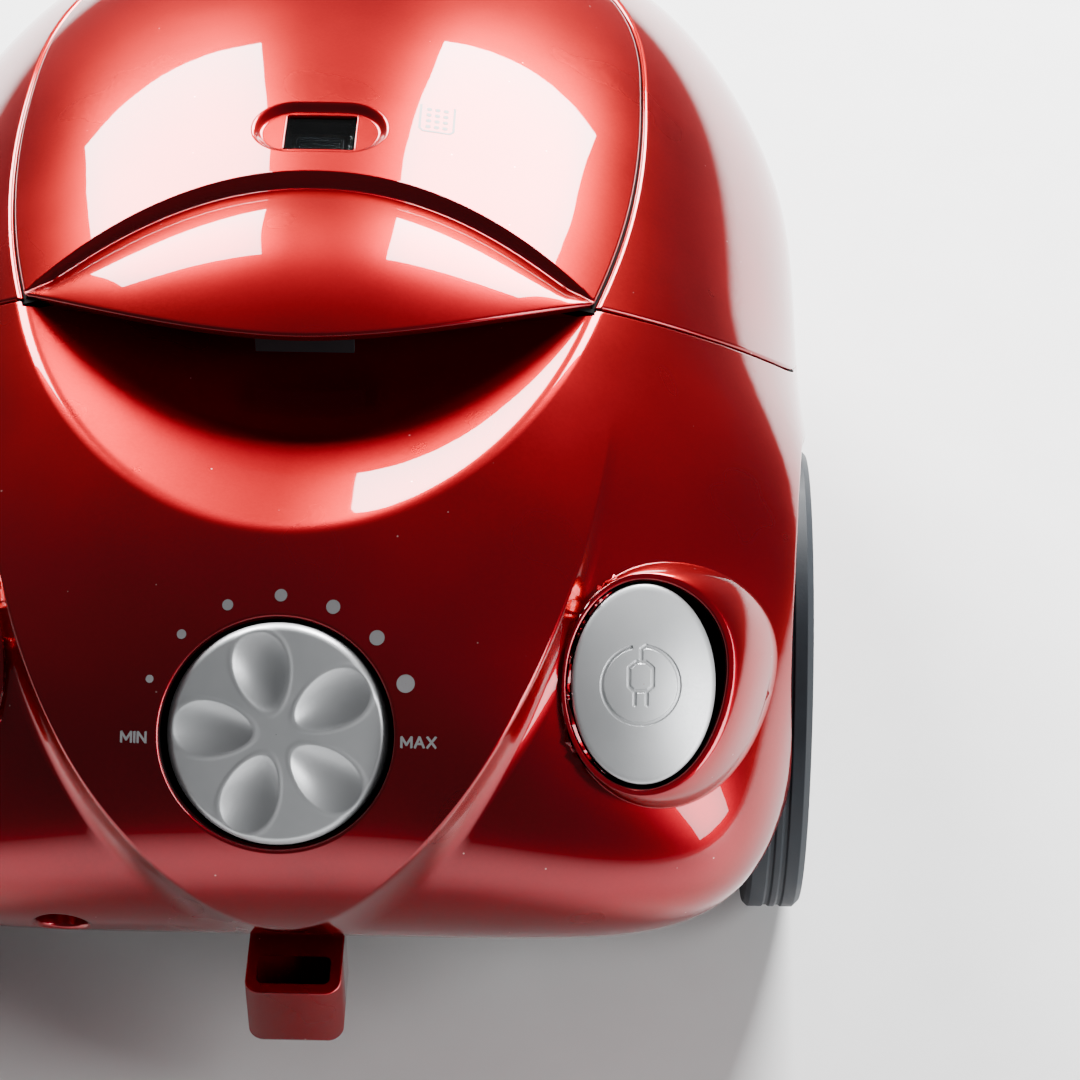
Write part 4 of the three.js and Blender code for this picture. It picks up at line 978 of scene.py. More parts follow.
@dataclass
class LowerHousing:
    """Rear and lower shell with the control face, finger scoop, button collars and wheel arches."""

    bottom_z: float = 46.4
    seam_shift: float = -0.4
    wall_shift: float = -2.8
    dial_recess: float = 31.2
    dial_depth: float = 9.0
    spindle_hole: float = 3.4
    notch: tuple[float, float] = (13.9, 56.3)
    cord_hole: tuple[float, float, float] = (-62.0, 84.0, 7.3)
    spacing: float = 4.6

    def __post_init__(self) -> None:
        """Sets up the surface form."""
        self.form = HousingForm()

    def in_scoop(self, p: Array) -> tuple[Array, Array]:
        """(inside the scoop's rim, floor behind the front wall) for skin points."""
        u, v, w = FACE.read(p)
        inside, _ = SCOOP.inside(u, v)
        rear = (inside > 0) & (p[..., 2] > 120)
        floor = FACE.place(u, v, w - SCOOP.sink(u, v) + SHIELD.rise(u, v))
        return rear, SWEEP.side(floor) < self.wall_shift

    def keep(self, p: Array) -> Array:
        """Whether skin points belong to this shell."""
        scooped, behind = self.in_scoop(p)
        good = (p[..., 2] > self.bottom_z) & np.where(scooped, behind, SWEEP.side(p) < self.seam_shift)
        u, v, w = FACE.read(p)
        rear = (p[..., 1] < -60) & (w > -75)
        good &= ~(rear & (np.hypot(u, v) < self.dial_recess))
        a, b = BOSS.across + BOSS.gap, BOSS.along + BOSS.gap
        good &= ~(rear & (((np.abs(u) - BOSS.u) / a) ** 2 + ((v - BOSS.v) / b) ** 2 < 1.0))
        good &= ~(rear & (np.abs(p[..., 0]) < self.notch[0]) & (p[..., 2] < self.notch[1]))
        x, z, radius = self.cord_hole
        good &= ~(rear & (np.hypot(p[..., 0] - x, p[..., 2] - z) < radius))
        return good & ~ARCH.contains(p) & (VENT.distance(p) > 0.4)

    def corner(self) -> Array:
        """Where the scoop's rim meets the parting line on the right."""
        rim = on_skin_from_face(SCOOP.rim())
        right = rim[rim[:, 0] > 40]
        return right[int(np.argmin(np.abs(SWEEP.side(right) - self.seam_shift)))]

    def junction(self) -> Array:
        """Line over the scoop's floor where it meets the front wall, from right to left."""
        corner = self.corner()
        us = np.linspace(-corner[0] + 0.8, corner[0] - 0.8, 130)
        low = SCOOP.centre - SCOOP.height * np.sqrt(1.0 - (us / SCOOP.half_width) ** 2) + 0.05
        high = np.full_like(us, 160.0)
        for _ in range(30):
            v = (low + high) / 2.0
            skin = on_skin_from_face(np.stack([us, v], 1))
            _, behind = self.in_scoop(skin)
            low, high = np.where(behind, v, low), np.where(behind, high, v)
        line = on_skin_from_face(np.stack([us, low], 1))
        whole = np.vstack([corner * np.array([-1.0, 1, 1]), line, corner])
        return resample(whole, 1.8)[::-1]

    def bottom_edge(self) -> Array:
        """Lower edge with the notch for the parking bracket."""
        half, top = self.notch
        line = level_line(self.bottom_z, 1400)
        start = int(np.argmin(np.hypot(line[:, 0], line[:, 1] + 220.0)))
        line = np.roll(line, -start, axis=0)
        line = line[~((np.abs(line[:, 0]) < half) & (line[:, 1] < 0))]
        zs = np.linspace(self.bottom_z, top, 12)
        xs = np.linspace(-half, half, 30)
        start_y = SKIN.centre_y

        def rear(x: Array, z: Array) -> Array:
            """Rear skin points at x and z."""
            start = np.stack([x, np.full_like(x, start_y), z], 1)
            return SKIN.cross(start, np.broadcast_to(np.array([0.0, -1.0, 0.0]), start.shape), 260.0, 0.0)

        left = rear(np.full_like(zs, -half), zs)
        right = rear(np.full_like(zs, half), zs[::-1])
        across = rear(xs, np.full_like(xs, top))
        return resample(np.vstack([line, left, across[1:-1], right]), 1.7, closed=True)

    def circle(self, centre: Sequence[float], radius: float, count: int) -> Array:
        """A circle in face coordinates."""
        turn = np.linspace(0.0, 2 * math.pi, count, endpoint=False)
        return np.stack([centre[0] + radius * np.cos(turn), centre[1] + radius * np.sin(turn)], 1)

    def rims(self) -> list[Rim]:
        """All edges of the shell."""
        keep = self.keep
        seam = resample(seam_line(self.seam_shift, self.corner()[1]), 1.5)
        x, z, radius = self.cord_hole
        ring = self.circle((x, z), radius, 48)
        start = np.stack([ring[:, 0], np.full(len(ring), SKIN.centre_y), ring[:, 1]], 1)
        cord = SKIN.cross(start, np.broadcast_to(np.array([0.0, -1.0, 0.0]), start.shape), 260.0, 0.0)
        self.seam = facing(seam, keep)
        self.front_wall = facing(self.junction(), keep, radius=0.0, wall=0.0, fan=(1.2, 2.6))
        self.dial_rim = facing(on_skin_from_face(self.circle((0, 0), self.dial_recess, 150)), keep,
                               closed=True, radius=0.9, wall=0.0)
        self.button_rims = [facing(on_skin_from_face(BOSS.ellipse(BOSS.gap, side)), keep, closed=True,
                                   radius=0.7, wall=0.0, fan=(0.1, 0.25, 0.45, 0.7, 0.95, 1.2, 1.5, 1.9))
                            for side in (-1, 1)]
        found = [self.seam, self.front_wall, self.dial_rim, *self.button_rims,
                 facing(self.bottom_edge(), keep, closed=True, radius=0.6),
                 facing(cord, keep, closed=True, radius=1.4, wall=4.0)]
        for side in (-1, 1):
            arc, low = ARCH.curves(side)
            inwards = np.broadcast_to(np.array([-side, 0.0, 0.0]), arc.shape)
            found.append(facing(arc, keep, radius=1.4, wall=0.0))
            found.append(facing(low, keep, radius=0.0, wall=0.0, fan=(1.2, 2.6)))
            vent = on_skin_from_side(VENT.outline(0.4), side)
            found.append(facing(vent, keep, closed=True, radius=0.7, wall=3.2))
        return found

    def guides(self) -> list[Guide]:
        """Lines of the raised panel, the scoop's rim and the button collars."""
        outline = SHIELD.outline()
        clear = BOSS.share(outline[:, 0], outline[:, 1]) > 1.3
        runs = np.split(outline, np.flatnonzero(np.diff(clear.astype(int))) + 1)
        runs = [run for run in runs if len(run) > 8 and BOSS.share(run[4:5, 0], run[4:5, 1])[0] > 1.3]
        beside = (0.1, 0.5, -0.7, 1.0, -1.6, 1.5, -2.7, -4.0, 2.6, -5.4, -7.0, -8.8)
        rim = resample(on_skin_from_face(SCOOP.rim()), 1.7)
        made = [
            Guide(rim, offsets=(-0.1, -1.2, 1.0, -2.2, 2.1, -3.6, 3.4, 5.2)),
            *(Guide(resample(on_skin_from_face(run), 1.7), offsets=beside) for run in runs),
        ]
        for side in (-1, 1):
            for share in (0.02, 0.07, 0.14, 0.24, 0.36, 0.5, 0.64, 0.78, 0.92, 1.06, 1.2):
                cu, cv, a, b = BOSS.ring(share)
                turn = np.linspace(0.0, 2 * math.pi, 120, endpoint=False)
                uv = np.stack([side * (cu + a * np.cos(turn)), cv + b * np.sin(turn)], 1)
                made.append(Guide(on_skin_from_face(uv), closed=True))
        return made

    def mesher(self) -> PanelMesher:
        """The panel mesher of this shell."""
        def fine(p: Array) -> Array:
            """Whether a point lies on the rear face, which needs the finer mesh."""
            return (FACE.read(p)[1] > -60) & (SKIN.normal(p) @ FACE.out > 0.3)

        return PanelMesher(Chart(tuple(FACE.out)), self.form, self.keep, self.rims(), self.guides(),
                           self.spacing, fine)

    def front_wall_shape(self, mesher: PanelMesher) -> Shape:
        """The wall in front of the scoop, up to just under the lid."""
        foot, _ = mesher.rounded(self.front_wall.line)
        share = np.linspace(0.0, 1.0, 14)
        rows, normals = [], []
        for t in share:
            x = foot[:, 0]
            top_y = self.wall_top(x)
            y = foot[:, 1] + (top_y - foot[:, 1]) * t
            z = SWEEP.height(y)
            slope = -SWEEP.rise / SWEEP.run * np.exp(-(y - SWEEP.start) / SWEEP.run)
            length = np.sqrt(1 + slope**2)
            rows.append(np.stack([x, y, z + self.wall_shift * length], 1))
            normals.append(np.stack([np.zeros_like(y), slope / length, -1 / length], 1))
        rows[0] = foot
        return strip(rows, normals, False)

    def wall_top(self, x: Array) -> Array:
        """y where the wall's surface comes within 0.8 mm of the skin."""
        low, high = np.full_like(x, -110.0), np.full_like(x, -30.0)
        for _ in range(30):
            y = (low + high) / 2.0
            slope = SWEEP.rise / SWEEP.run * np.exp(-(y - SWEEP.start) / SWEEP.run)
            z = SWEEP.height(y) + self.wall_shift * np.sqrt(1 + slope**2) + 3.4
            outside = SKIN.level(np.stack([x, y, z], 1)) > 0
            low, high = np.where(outside, y, low), np.where(outside, high, y)
        return high

    def dial_cup(self, mesher: PanelMesher) -> Shape:
        """Wall and floor of the recess round the dial."""
        top, _ = mesher.rounded(self.dial_rim.line)
        u, v, _ = FACE.read(top)
        turn = np.stack([u, v], 1) / np.hypot(u, v)[:, None]
        low = FACE.place(u, v, -self.dial_depth)
        side = -(turn[:, :1] * np.array([1.0, 0, 0]) + turn[:, 1:] * FACE.up)
        shape = strip([top, (top + low) / 2, low], [side] * 3, True)
        inner = FACE.place(turn[:, 0] * self.spindle_hole, turn[:, 1] * self.spindle_hole, -self.dial_depth)
        out = np.broadcast_to(FACE.out, low.shape)
        return shape.merge(strip([low, inner], [out, out], True))

    def button_well(self, mesher: PanelMesher, rim: Rim) -> Shape:
        """Wall and floor of the well behind one button."""
        top, _ = mesher.rounded(rim.line)
        u, v, _ = FACE.read(top)
        centre_u = BOSS.u * np.sign(u.mean())
        turn = unit(np.stack([(u - centre_u) / BOSS.across, (v - BOSS.v) / BOSS.along], 1))
        low = FACE.place(u, v, BOSS.plane(u, v) - BOSS.well)
        side = -unit(turn[:, :1] * np.array([1.0, 0, 0]) + turn[:, 1:] * FACE.up)
        shape = strip([top, (top + low) / 2, low], [side] * 3, True)
        centre = FACE.place(centre_u, BOSS.v, float(BOSS.w - BOSS.well))
        middle = np.broadcast_to(centre, low.shape)
        out = np.broadcast_to(FACE.out, low.shape)
        return shape.merge(strip([low, low * 0.1 + middle * 0.9], [out, out], True))

    def arch_pocket(self, mesher: PanelMesher, arc: Rim, side: int) -> Shape:
        """Wall and floor of one wheel arch."""
        top, _ = mesher.rounded(arc.line)
        floor = top.copy()
        floor[:, 0] = side * ARCH.floor_x
        hub = np.array([0.0, ARCH.y, ARCH.z])
        inward = hub - arc.line
        inward[:, 0] = 0.0
        shape = strip([top, floor], [unit(inward)] * 2, False)
        out = np.array([float(side), 0.0, 0.0])
        _, low = ARCH.curves(side)
        rest = low if np.linalg.norm(low[0] - floor[-1]) < np.linalg.norm(low[-1] - floor[-1]) else low[::-1]
        ring = np.vstack([floor, rest[1:-1]])
        face = np.arange(len(ring))
        a, b, c = ring[0], ring[len(ring) // 3], ring[2 * len(ring) // 3]
        if np.cross(b - a, c - a) @ out < 0:
            face = face[::-1]
        shape.add(ring, np.broadcast_to(out, ring.shape), [face])
        return shape

    def build(self, material: Material, painted_shade: Material) -> bpy.types.Object:
        """Builds the shell, riding on the body, with cups behind the dial and buttons whose near-black finish
        is painted shade.
        """
        mesher = self.mesher()
        shape = mesher.build()
        shape.merge(self.front_wall_shape(mesher))
        arcs = [r for r in mesher.rims if r.radius == 1.4 and not r.closed]
        for rim, side in zip(arcs, (-1, 1)):
            shape.merge(self.arch_pocket(mesher, rim, side))
        made = shape.mesh("lower_housing_shell", material)
        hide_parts("lower_housing")
        # The cups are near black: painted shade in the recesses round the dial and buttons.
        cups = self.dial_cup(mesher)
        for rim in self.button_rims:
            cups.merge(self.button_well(mesher, rim))
        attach(cups.mesh("dial_and_button_cups", painted_shade), "root")
        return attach(made, "root")


@dataclass
class UpperHousing:
    """Front and side shell round the bag lid."""

    seam_shift: float = 0.4
    lid_gap: float = 0.6
    front_slot: float = 111.2
    inlet: tuple[float, float] = (34.4, 118.0)
    spacing: float = 5.0

    def keep(self, p: Array) -> Array:
        """Whether skin points belong to this shell."""
        over = (p[..., 2] > SKIN.centre_z) & LID.contains(p, self.lid_gap, self.front_slot)
        radius, z = self.inlet
        inlet = (p[..., 1] > 100) & (np.hypot(p[..., 0], p[..., 2] - z) < radius)
        return (SWEEP.side(p) > self.seam_shift) & ~over & ~inlet & (p[..., 1] > -66)

    def rims(self) -> list[Rim]:
        """All edges of the shell."""
        _, plan = LID.outline(self.lid_gap, self.front_slot)
        opening = on_skin_from_above(plan)
        opening = opening[SWEEP.side(opening) > self.seam_shift]
        corner = opening[0]
        seam = resample(seam_line(self.seam_shift, corner[1]), 1.6)
        turn = np.linspace(0.0, 2 * math.pi, 130, endpoint=False)
        radius, z = self.inlet
        start = np.stack([radius * np.cos(turn), np.zeros(130), z + radius * np.sin(turn)], 1)
        inlet = SKIN.cross(start, np.broadcast_to(np.array([0.0, 1.0, 0.0]), start.shape), 260.0, 0.0)
        return [facing(resample(opening, 1.6), self.keep, radius=1.5, wall=3.6,
                       fan=(0.15, 0.4, 0.75, 1.15, 1.6, 2.4, 3.6)),
                facing(seam, self.keep), facing(inlet, self.keep, closed=True, radius=1.5, wall=4.0)]

    def build(self, material: Material) -> bpy.types.Object:
        """Builds the shell, riding on the body."""
        mesher = PanelMesher(Chart((0.0, 0.0, 1.0)), PlainForm(), self.keep, self.rims(), [], self.spacing)
        made = mesher.build().mesh("upper_housing_shell", material)
        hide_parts("upper_housing")
        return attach(made, "root")


@dataclass
class BagLid:
    """The hinged lid with its brow and window recess."""

    front: float = 105.2
    window: tuple[float, float, float] = (10.3, 8.3, -3.5)
    spacing: float = 4.6

    def keep(self, p: Array) -> Array:
        """Whether skin points belong to the lid."""
        half_x, half_y, y = self.window
        hole = (np.abs(p[..., 0]) < half_x) & (np.abs(p[..., 1] - y) < half_y)
        return (p[..., 2] > SKIN.centre_z) & LID.contains(p, 0.0, self.front) & ~hole

    def rims(self) -> list[Rim]:
        """All edges of the lid."""
        rear, around = LID.outline(0.0, self.front)
        half_x, half_y, y = self.window
        corners = np.array([[-half_x, y - half_y], [half_x, y - half_y],
                            [half_x, y + half_y], [-half_x, y + half_y]])
        hole = resample(corners, 1.0, closed=True)
        return [facing(on_skin_from_above(resample(rear, 1.4)), self.keep, radius=1.1),
                facing(resample(on_skin_from_above(around), 1.5), self.keep, radius=0.9),
                facing(on_skin_from_above(hole), self.keep, closed=True, radius=0.4, wall=2.6,
                       fan=(0.12, 0.28, 0.45, 0.9, 1.6))]

    def guides(self) -> list[Guide]:
        """Lines of the crease, the brow and the window recess."""
        xs = np.linspace(-80.5, 80.5, 200)
        crease = resample(on_skin_from_above(np.stack([xs, LID.crease_at(xs)], 1)), 1.5)
        half, radius, middle = LidForm.recess
        turn = np.linspace(-math.pi / 2, math.pi / 2, 40)
        right = np.stack([half - radius + radius * np.cos(turn), middle + radius * np.sin(turn)], 1)
        loop = resample(np.vstack([right, right[::-1] * np.array([-1.0, 1.0])]), 1.2, closed=True)
        oblong = on_skin_from_above(loop)
        return [Guide(crease, offsets=(-0.2, 0.5, -0.9, 1.0, -1.7, -2.6, 1.8, -3.6, -4.8, 3.0, -6.4)),
                Guide(crease, offsets=(0.2, 0.8, 1.5, 2.4, 3.4, 4.6, 6.2)),
                Guide(oblong, closed=True, offsets=(-1.1, -0.5, 0.1, 0.7, 1.3, 1.9, 2.6)),
                Guide(oblong, closed=True, offsets=(-0.8, -0.2, 0.4, 1.0, 1.6, 2.2))]

    def build(self, material: Material) -> bpy.types.Object:
        """Builds the lid, riding on its own body."""
        def fine(p: Array) -> Array:
            """Whether a point lies at the rear of the lid, which needs the finer mesh."""
            return p[..., 1] < -10

        mesher = PanelMesher(Chart((0.0, 0.0, 1.0)), LidForm(), self.keep, self.rims(), self.guides(),
                             self.spacing, fine)
        made = mesher.build().mesh("bag_lid_shell", material)
        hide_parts("bag_lid")
        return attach(made, "lid")


# ---------------------------------------------------------------- finishes
def linear(hex_colour: str, alpha: float = 1.0) -> tuple[float, float, float, float]:
    """Linear RGBA of an sRGB hex colour."""
    parts = [int(hex_colour[i:i + 2], 16) / 255.0 for i in (1, 3, 5)]
    curve = [c / 12.92 if c <= 0.04045 else ((c + 0.055) / 1.055) ** 2.4 for c in parts]
    return (*curve, alpha)


def add_node(tree: bpy.types.NodeTree, kind: str, settings: Optional[dict] = None,
             links: Optional[dict] = None) -> bpy.types.Node:
    """Adds a node to a tree.

    Args:
        tree: the material's node tree.
        kind: the node's type name.
        settings: properties by name, or input values by name or number.
        links: output sockets to join to inputs, by the input's name or number.

    Returns:
        The node.
    """
    made = tree.nodes.new(kind)
    for key, value in (settings or {}).items():
        if isinstance(key, str) and key in made.bl_rna.properties:
            setattr(made, key, value)
        else:
            made.inputs[key].default_value = value
    for key, socket in (links or {}).items():
        tree.links.new(socket, made.inputs[key])
    return made


def per_mm(size_mm: float) -> float:
    """Texture scale that repeats once in this many millimetres."""
    return 1000.0 / size_mm


class Painter:
    """One material in the making: a Principled surface with patterns in the piece's own coordinates."""

    def __init__(self, name: str) -> None:
        """Args:
            name: the material's name.
        """
        self.material = bpy.data.materials.new(name)
        self.material.use_nodes = True
        self.tree = self.material.node_tree
        self.surface = self.tree.nodes["Principled BSDF"]
        self.place = add_node(self.tree, "ShaderNodeTexCoord").outputs["Object"]

    def fix(self, **values: object) -> "Painter":
        """Sets constant values on the surface, with _ for a space in a socket's name."""
        for key, value in values.items():
            self.surface.inputs[key.replace("_", " ")].default_value = value
        return self

    def noise(self, size_mm: float, detail: float = 2.0, stretch: Sequence[float] = (1, 1, 1)) -> Socket:
        """Grey noise with blotches of about this size."""
        mapped = add_node(self.tree, "ShaderNodeMapping", {"Scale": tuple(stretch)}, {"Vector": self.place})
        return add_node(self.tree, "ShaderNodeTexNoise", {"Scale": per_mm(size_mm), "Detail": detail},
                        {"Vector": mapped.outputs[0]}).outputs[0]

    def spread(self, value: Socket, low: float, high: float, to_low: float, to_high: float) -> Socket:
        """Maps a value from one range to another."""
        return add_node(self.tree, "ShaderNodeMapRange", {1: low, 2: high, 3: to_low, 4: to_high},
                        {0: value}).outputs[0]

    def blend(self, share: Socket, first: object, second: object) -> Socket:
        """Mixes two colours; each is a hex colour or a socket."""
        made = add_node(self.tree, "ShaderNodeMix", {"data_type": "RGBA"}, {0: share})
        for index, colour in ((6, first), (7, second)):
            if isinstance(colour, str):
                made.inputs[index].default_value = linear(colour)
            else:
                self.tree.links.new(colour, made.inputs[index])
        return made.outputs[2]

    def bump(self, height: Socket, depth_mm: float, target: str = "Normal",
             under: Optional[Socket] = None) -> Socket:
        """Bumps the surface by a height of 0 to 1 times that depth."""
        links = {"Height": height}
        if under is not None:
            links["Normal"] = under
        made = add_node(self.tree, "ShaderNodeBump", {"Strength": 1.0, "Distance": depth_mm * MM}, links)
        self.tree.links.new(made.outputs[0], self.surface.inputs[target])
        return made.outputs[0]

    def tint(self, source: Socket, low: float, high: float, shade: str, colour: str, top: float = 1.0) -> None:
        """Colours the surface from shade to colour as the source goes from low to high."""
        self.link(self.blend(self.spread(source, low, high, 0.0, top), shade, colour), "Base Color")

    def link(self, socket: Socket, name: str) -> "Painter":
        """Joins a socket to one of the surface's inputs."""
        self.tree.links.new(socket, self.surface.inputs[name])
        return self


@dataclass(frozen=True)
class CandyLacquer:
    """Metallic red lacquer under clear coat on moulded ABS: deep where it faces the eye, bright where lit."""

    name: str = "candy_red_lacquer_on_ABS"
    bright: str = "#980018"
    deep: str = "#840014"
    flake_mm: float = 0.7
    ripple_mm: float = 7.0
    dust_mm: float = 9.0

    def material(self) -> Material:
        """Builds the lacquer."""
        paint = Painter(self.name)
        paint.fix(Metallic=0.85, Coat_Weight=1.0, Coat_Roughness=0.02, Coat_IOR=1.5,
                  Specular_Tint=linear("#C00018"))
        cloud = paint.noise(55.0, 3.0)
        # Aluminium flakes are far finer than this; they are drawn as coarse as the eye can make out.
        flake = add_node(paint.tree, "ShaderNodeTexVoronoi", {"Scale": per_mm(self.flake_mm)},
                         {"Vector": paint.place})
        sparkle = add_node(paint.tree, "ShaderNodeSeparateColor", {}, {0: flake.outputs["Color"]}).outputs[0]
        base = paint.blend(paint.spread(cloud, 0.3, 0.7, 0.0, 1.0), self.deep, self.bright)
        tone = paint.blend(paint.spread(sparkle, 0.0, 1.0, 0.0, 0.09), base, "#BE0620")
        # Fine dust lies on the glossy coat.
        dust = add_node(paint.tree, "ShaderNodeTexVoronoi", {"Scale": per_mm(self.dust_mm)},
                        {"Vector": paint.place})
        speck = paint.spread(dust.outputs["Distance"], 0.020, 0.034, 1.0, 0.0)
        paint.link(paint.blend(speck, tone, "#D9A09C"), "Base Color")
        rough = paint.spread(paint.noise(40.0), 0.3, 0.7, 0.27, 0.30)
        paint.link(rough, "Roughness")
        # The mould and the lacquer leave a very slight ripple, longer up the panel than across.
        ripple = paint.noise(self.ripple_mm, 1.0, (1.0, 0.35, 0.35))
        paint.bump(ripple, 0.012, "Coat Normal")
        return paint.material


@dataclass(frozen=True)
class SatinLacquer:
    """Silver lacquer on moulded ABS: a fine, soft metal sheen without mirror reflections."""

    name: str = "satin_silver_lacquer_on_ABS"
    colour: str = "#DFE1E3"
    shade: str = "#D4D7D9"
    grain_mm: float = 0.5

    def material(self) -> Material:
        """Builds the lacquer."""
        paint = Painter(self.name)
        paint.fix(Metallic=0.55, Coat_Weight=0.12, Coat_Roughness=0.25)
        grain = paint.noise(self.grain_mm, 2.0)
        cloud = paint.noise(14.0, 2.0)
        paint.tint(cloud, 0.3, 0.7, self.shade, self.colour)
        paint.link(paint.spread(grain, 0.25, 0.75, 0.34, 0.44), "Roughness")
        paint.bump(grain, 0.006)
        return paint.material


@dataclass(frozen=True)
class MouldedPlastic:
    """Injection-moulded plastic with a spark-eroded or polished grain."""

    name: str
    colour: str
    shade: str
    roughness: float = 0.5
    grain_mm: float = 0.8
    grain_depth: float = 0.02
    specular: float = 0.45

    def material(self) -> Material:
        """Builds the plastic."""
        paint = Painter(self.name)
        paint.fix(Specular_IOR_Level=self.specular)
        grain = paint.noise(self.grain_mm, 3.0)
        cloud = paint.noise(30.0, 3.0)
        paint.tint(cloud, 0.3, 0.7, self.shade, self.colour)
        rough = paint.spread(grain, 0.25, 0.75, self.roughness - 0.05, self.roughness + 0.06)
        paint.link(rough, "Roughness")
        paint.bump(grain, self.grain_depth)
        return paint.material


@dataclass(frozen=True)
class Rubber:
    """Moulded rubber: dull, slightly cloudy with bloom, finely pitted."""

    name: str
    colour: str
    bloom: str
    roughness: float = 0.62

    def material(self) -> Material:
        """Builds the rubber."""
        paint = Painter(self.name)
        paint.fix(Specular_IOR_Level=0.3)
        cloud = paint.noise(11.0, 4.0)
        pits = paint.noise(0.6, 2.0)
        paint.tint(cloud, 0.35, 0.75, self.colour, self.bloom, 0.6)
        paint.link(paint.spread(cloud, 0.2, 0.8, self.roughness - 0.06, self.roughness + 0.1), "Roughness")
        paint.bump(pits, 0.03)
        return paint.material


@dataclass(frozen=True)
class Metal:
    """Drawn or plated metal with fine lines along one direction."""

    name: str
    colour: str
    shade: str
    roughness: float = 0.3
    stretch: tuple[float, float, float] = (0.08, 1.0, 1.0)
    line_mm: float = 0.6

    def material(self) -> Material:
        """Builds the metal."""
        paint = Painter(self.name)
        paint.fix(Metallic=1.0)
        lines = paint.noise(self.line_mm, 3.0, self.stretch)
        paint.tint(lines, 0.3, 0.7, self.shade, self.colour)
        paint.link(paint.spread(lines, 0.3, 0.7, self.roughness - 0.07, self.roughness + 0.08), "Roughness")
        paint.bump(lines, 0.01)
        return paint.material


@dataclass(frozen=True)
class ClearPlastic:
    """Polished polycarbonate, smoked grey."""

    name: str = "polished_smoked_polycarbonate"
    colour: str = "#8E9497"
    haze: str = "#868C8F"

    def material(self) -> Material:
        """Builds the clear plastic."""
        paint = Painter(self.name)
        paint.fix(Transmission_Weight=1.0, IOR=1.58, Roughness=0.03)
        haze = paint.noise(9.0, 2.0)
        paint.tint(haze, 0.4, 0.7, self.colour, self.haze)
        return paint.material


@dataclass(frozen=True)
class Fleece:
    """Non-woven or felted fibre sheet: soft, with crossing fibres and a fuzzy edge light."""

    name: str
    colour: str
    shade: str
    fibre_mm: float = 1.1
    depth_mm: float = 0.12

    def material(self) -> Material:
        """Builds the fleece."""
        paint = Painter(self.name)
        paint.fix(Roughness=0.92, Specular_IOR_Level=0.15, Sheen_Weight=0.35, Sheen_Roughness=0.6)
        one = paint.noise(self.fibre_mm, 4.0, (1.0, 0.12, 1.0))
        other = paint.noise(self.fibre_mm, 4.0, (0.12, 1.0, 1.0))
        both = add_node(paint.tree, "ShaderNodeMath", {"operation": "MAXIMUM"}, {0: one, 1: other}).outputs[0]
        paint.tint(both, 0.35, 0.8, self.shade, self.colour)
        paint.bump(both, self.depth_mm)
        return paint.material


class Finish(Enum):
    """The finishes of the machine, by the name of the record's material slot."""

    RED = "red_gloss"
    GREY = "grey_plastic"
    CLEAR = "clear_lens"
    STEEL = "steel"
    RUBBER = "rubber"
    CARD = "card"
    FLEECE = "bag_fleece"
    FOAM = "filter_foam"
    PAPER = "filter_paper"
    WHITE = "white_plastic"
    COPPER = "copper"
    ORANGE = "orange_plastic"
    SILVER = "silver_plastic"
    BOARD = "circuit_board"
    SLATE = "slate_plastic"
    TYRE = "slate_rubber"


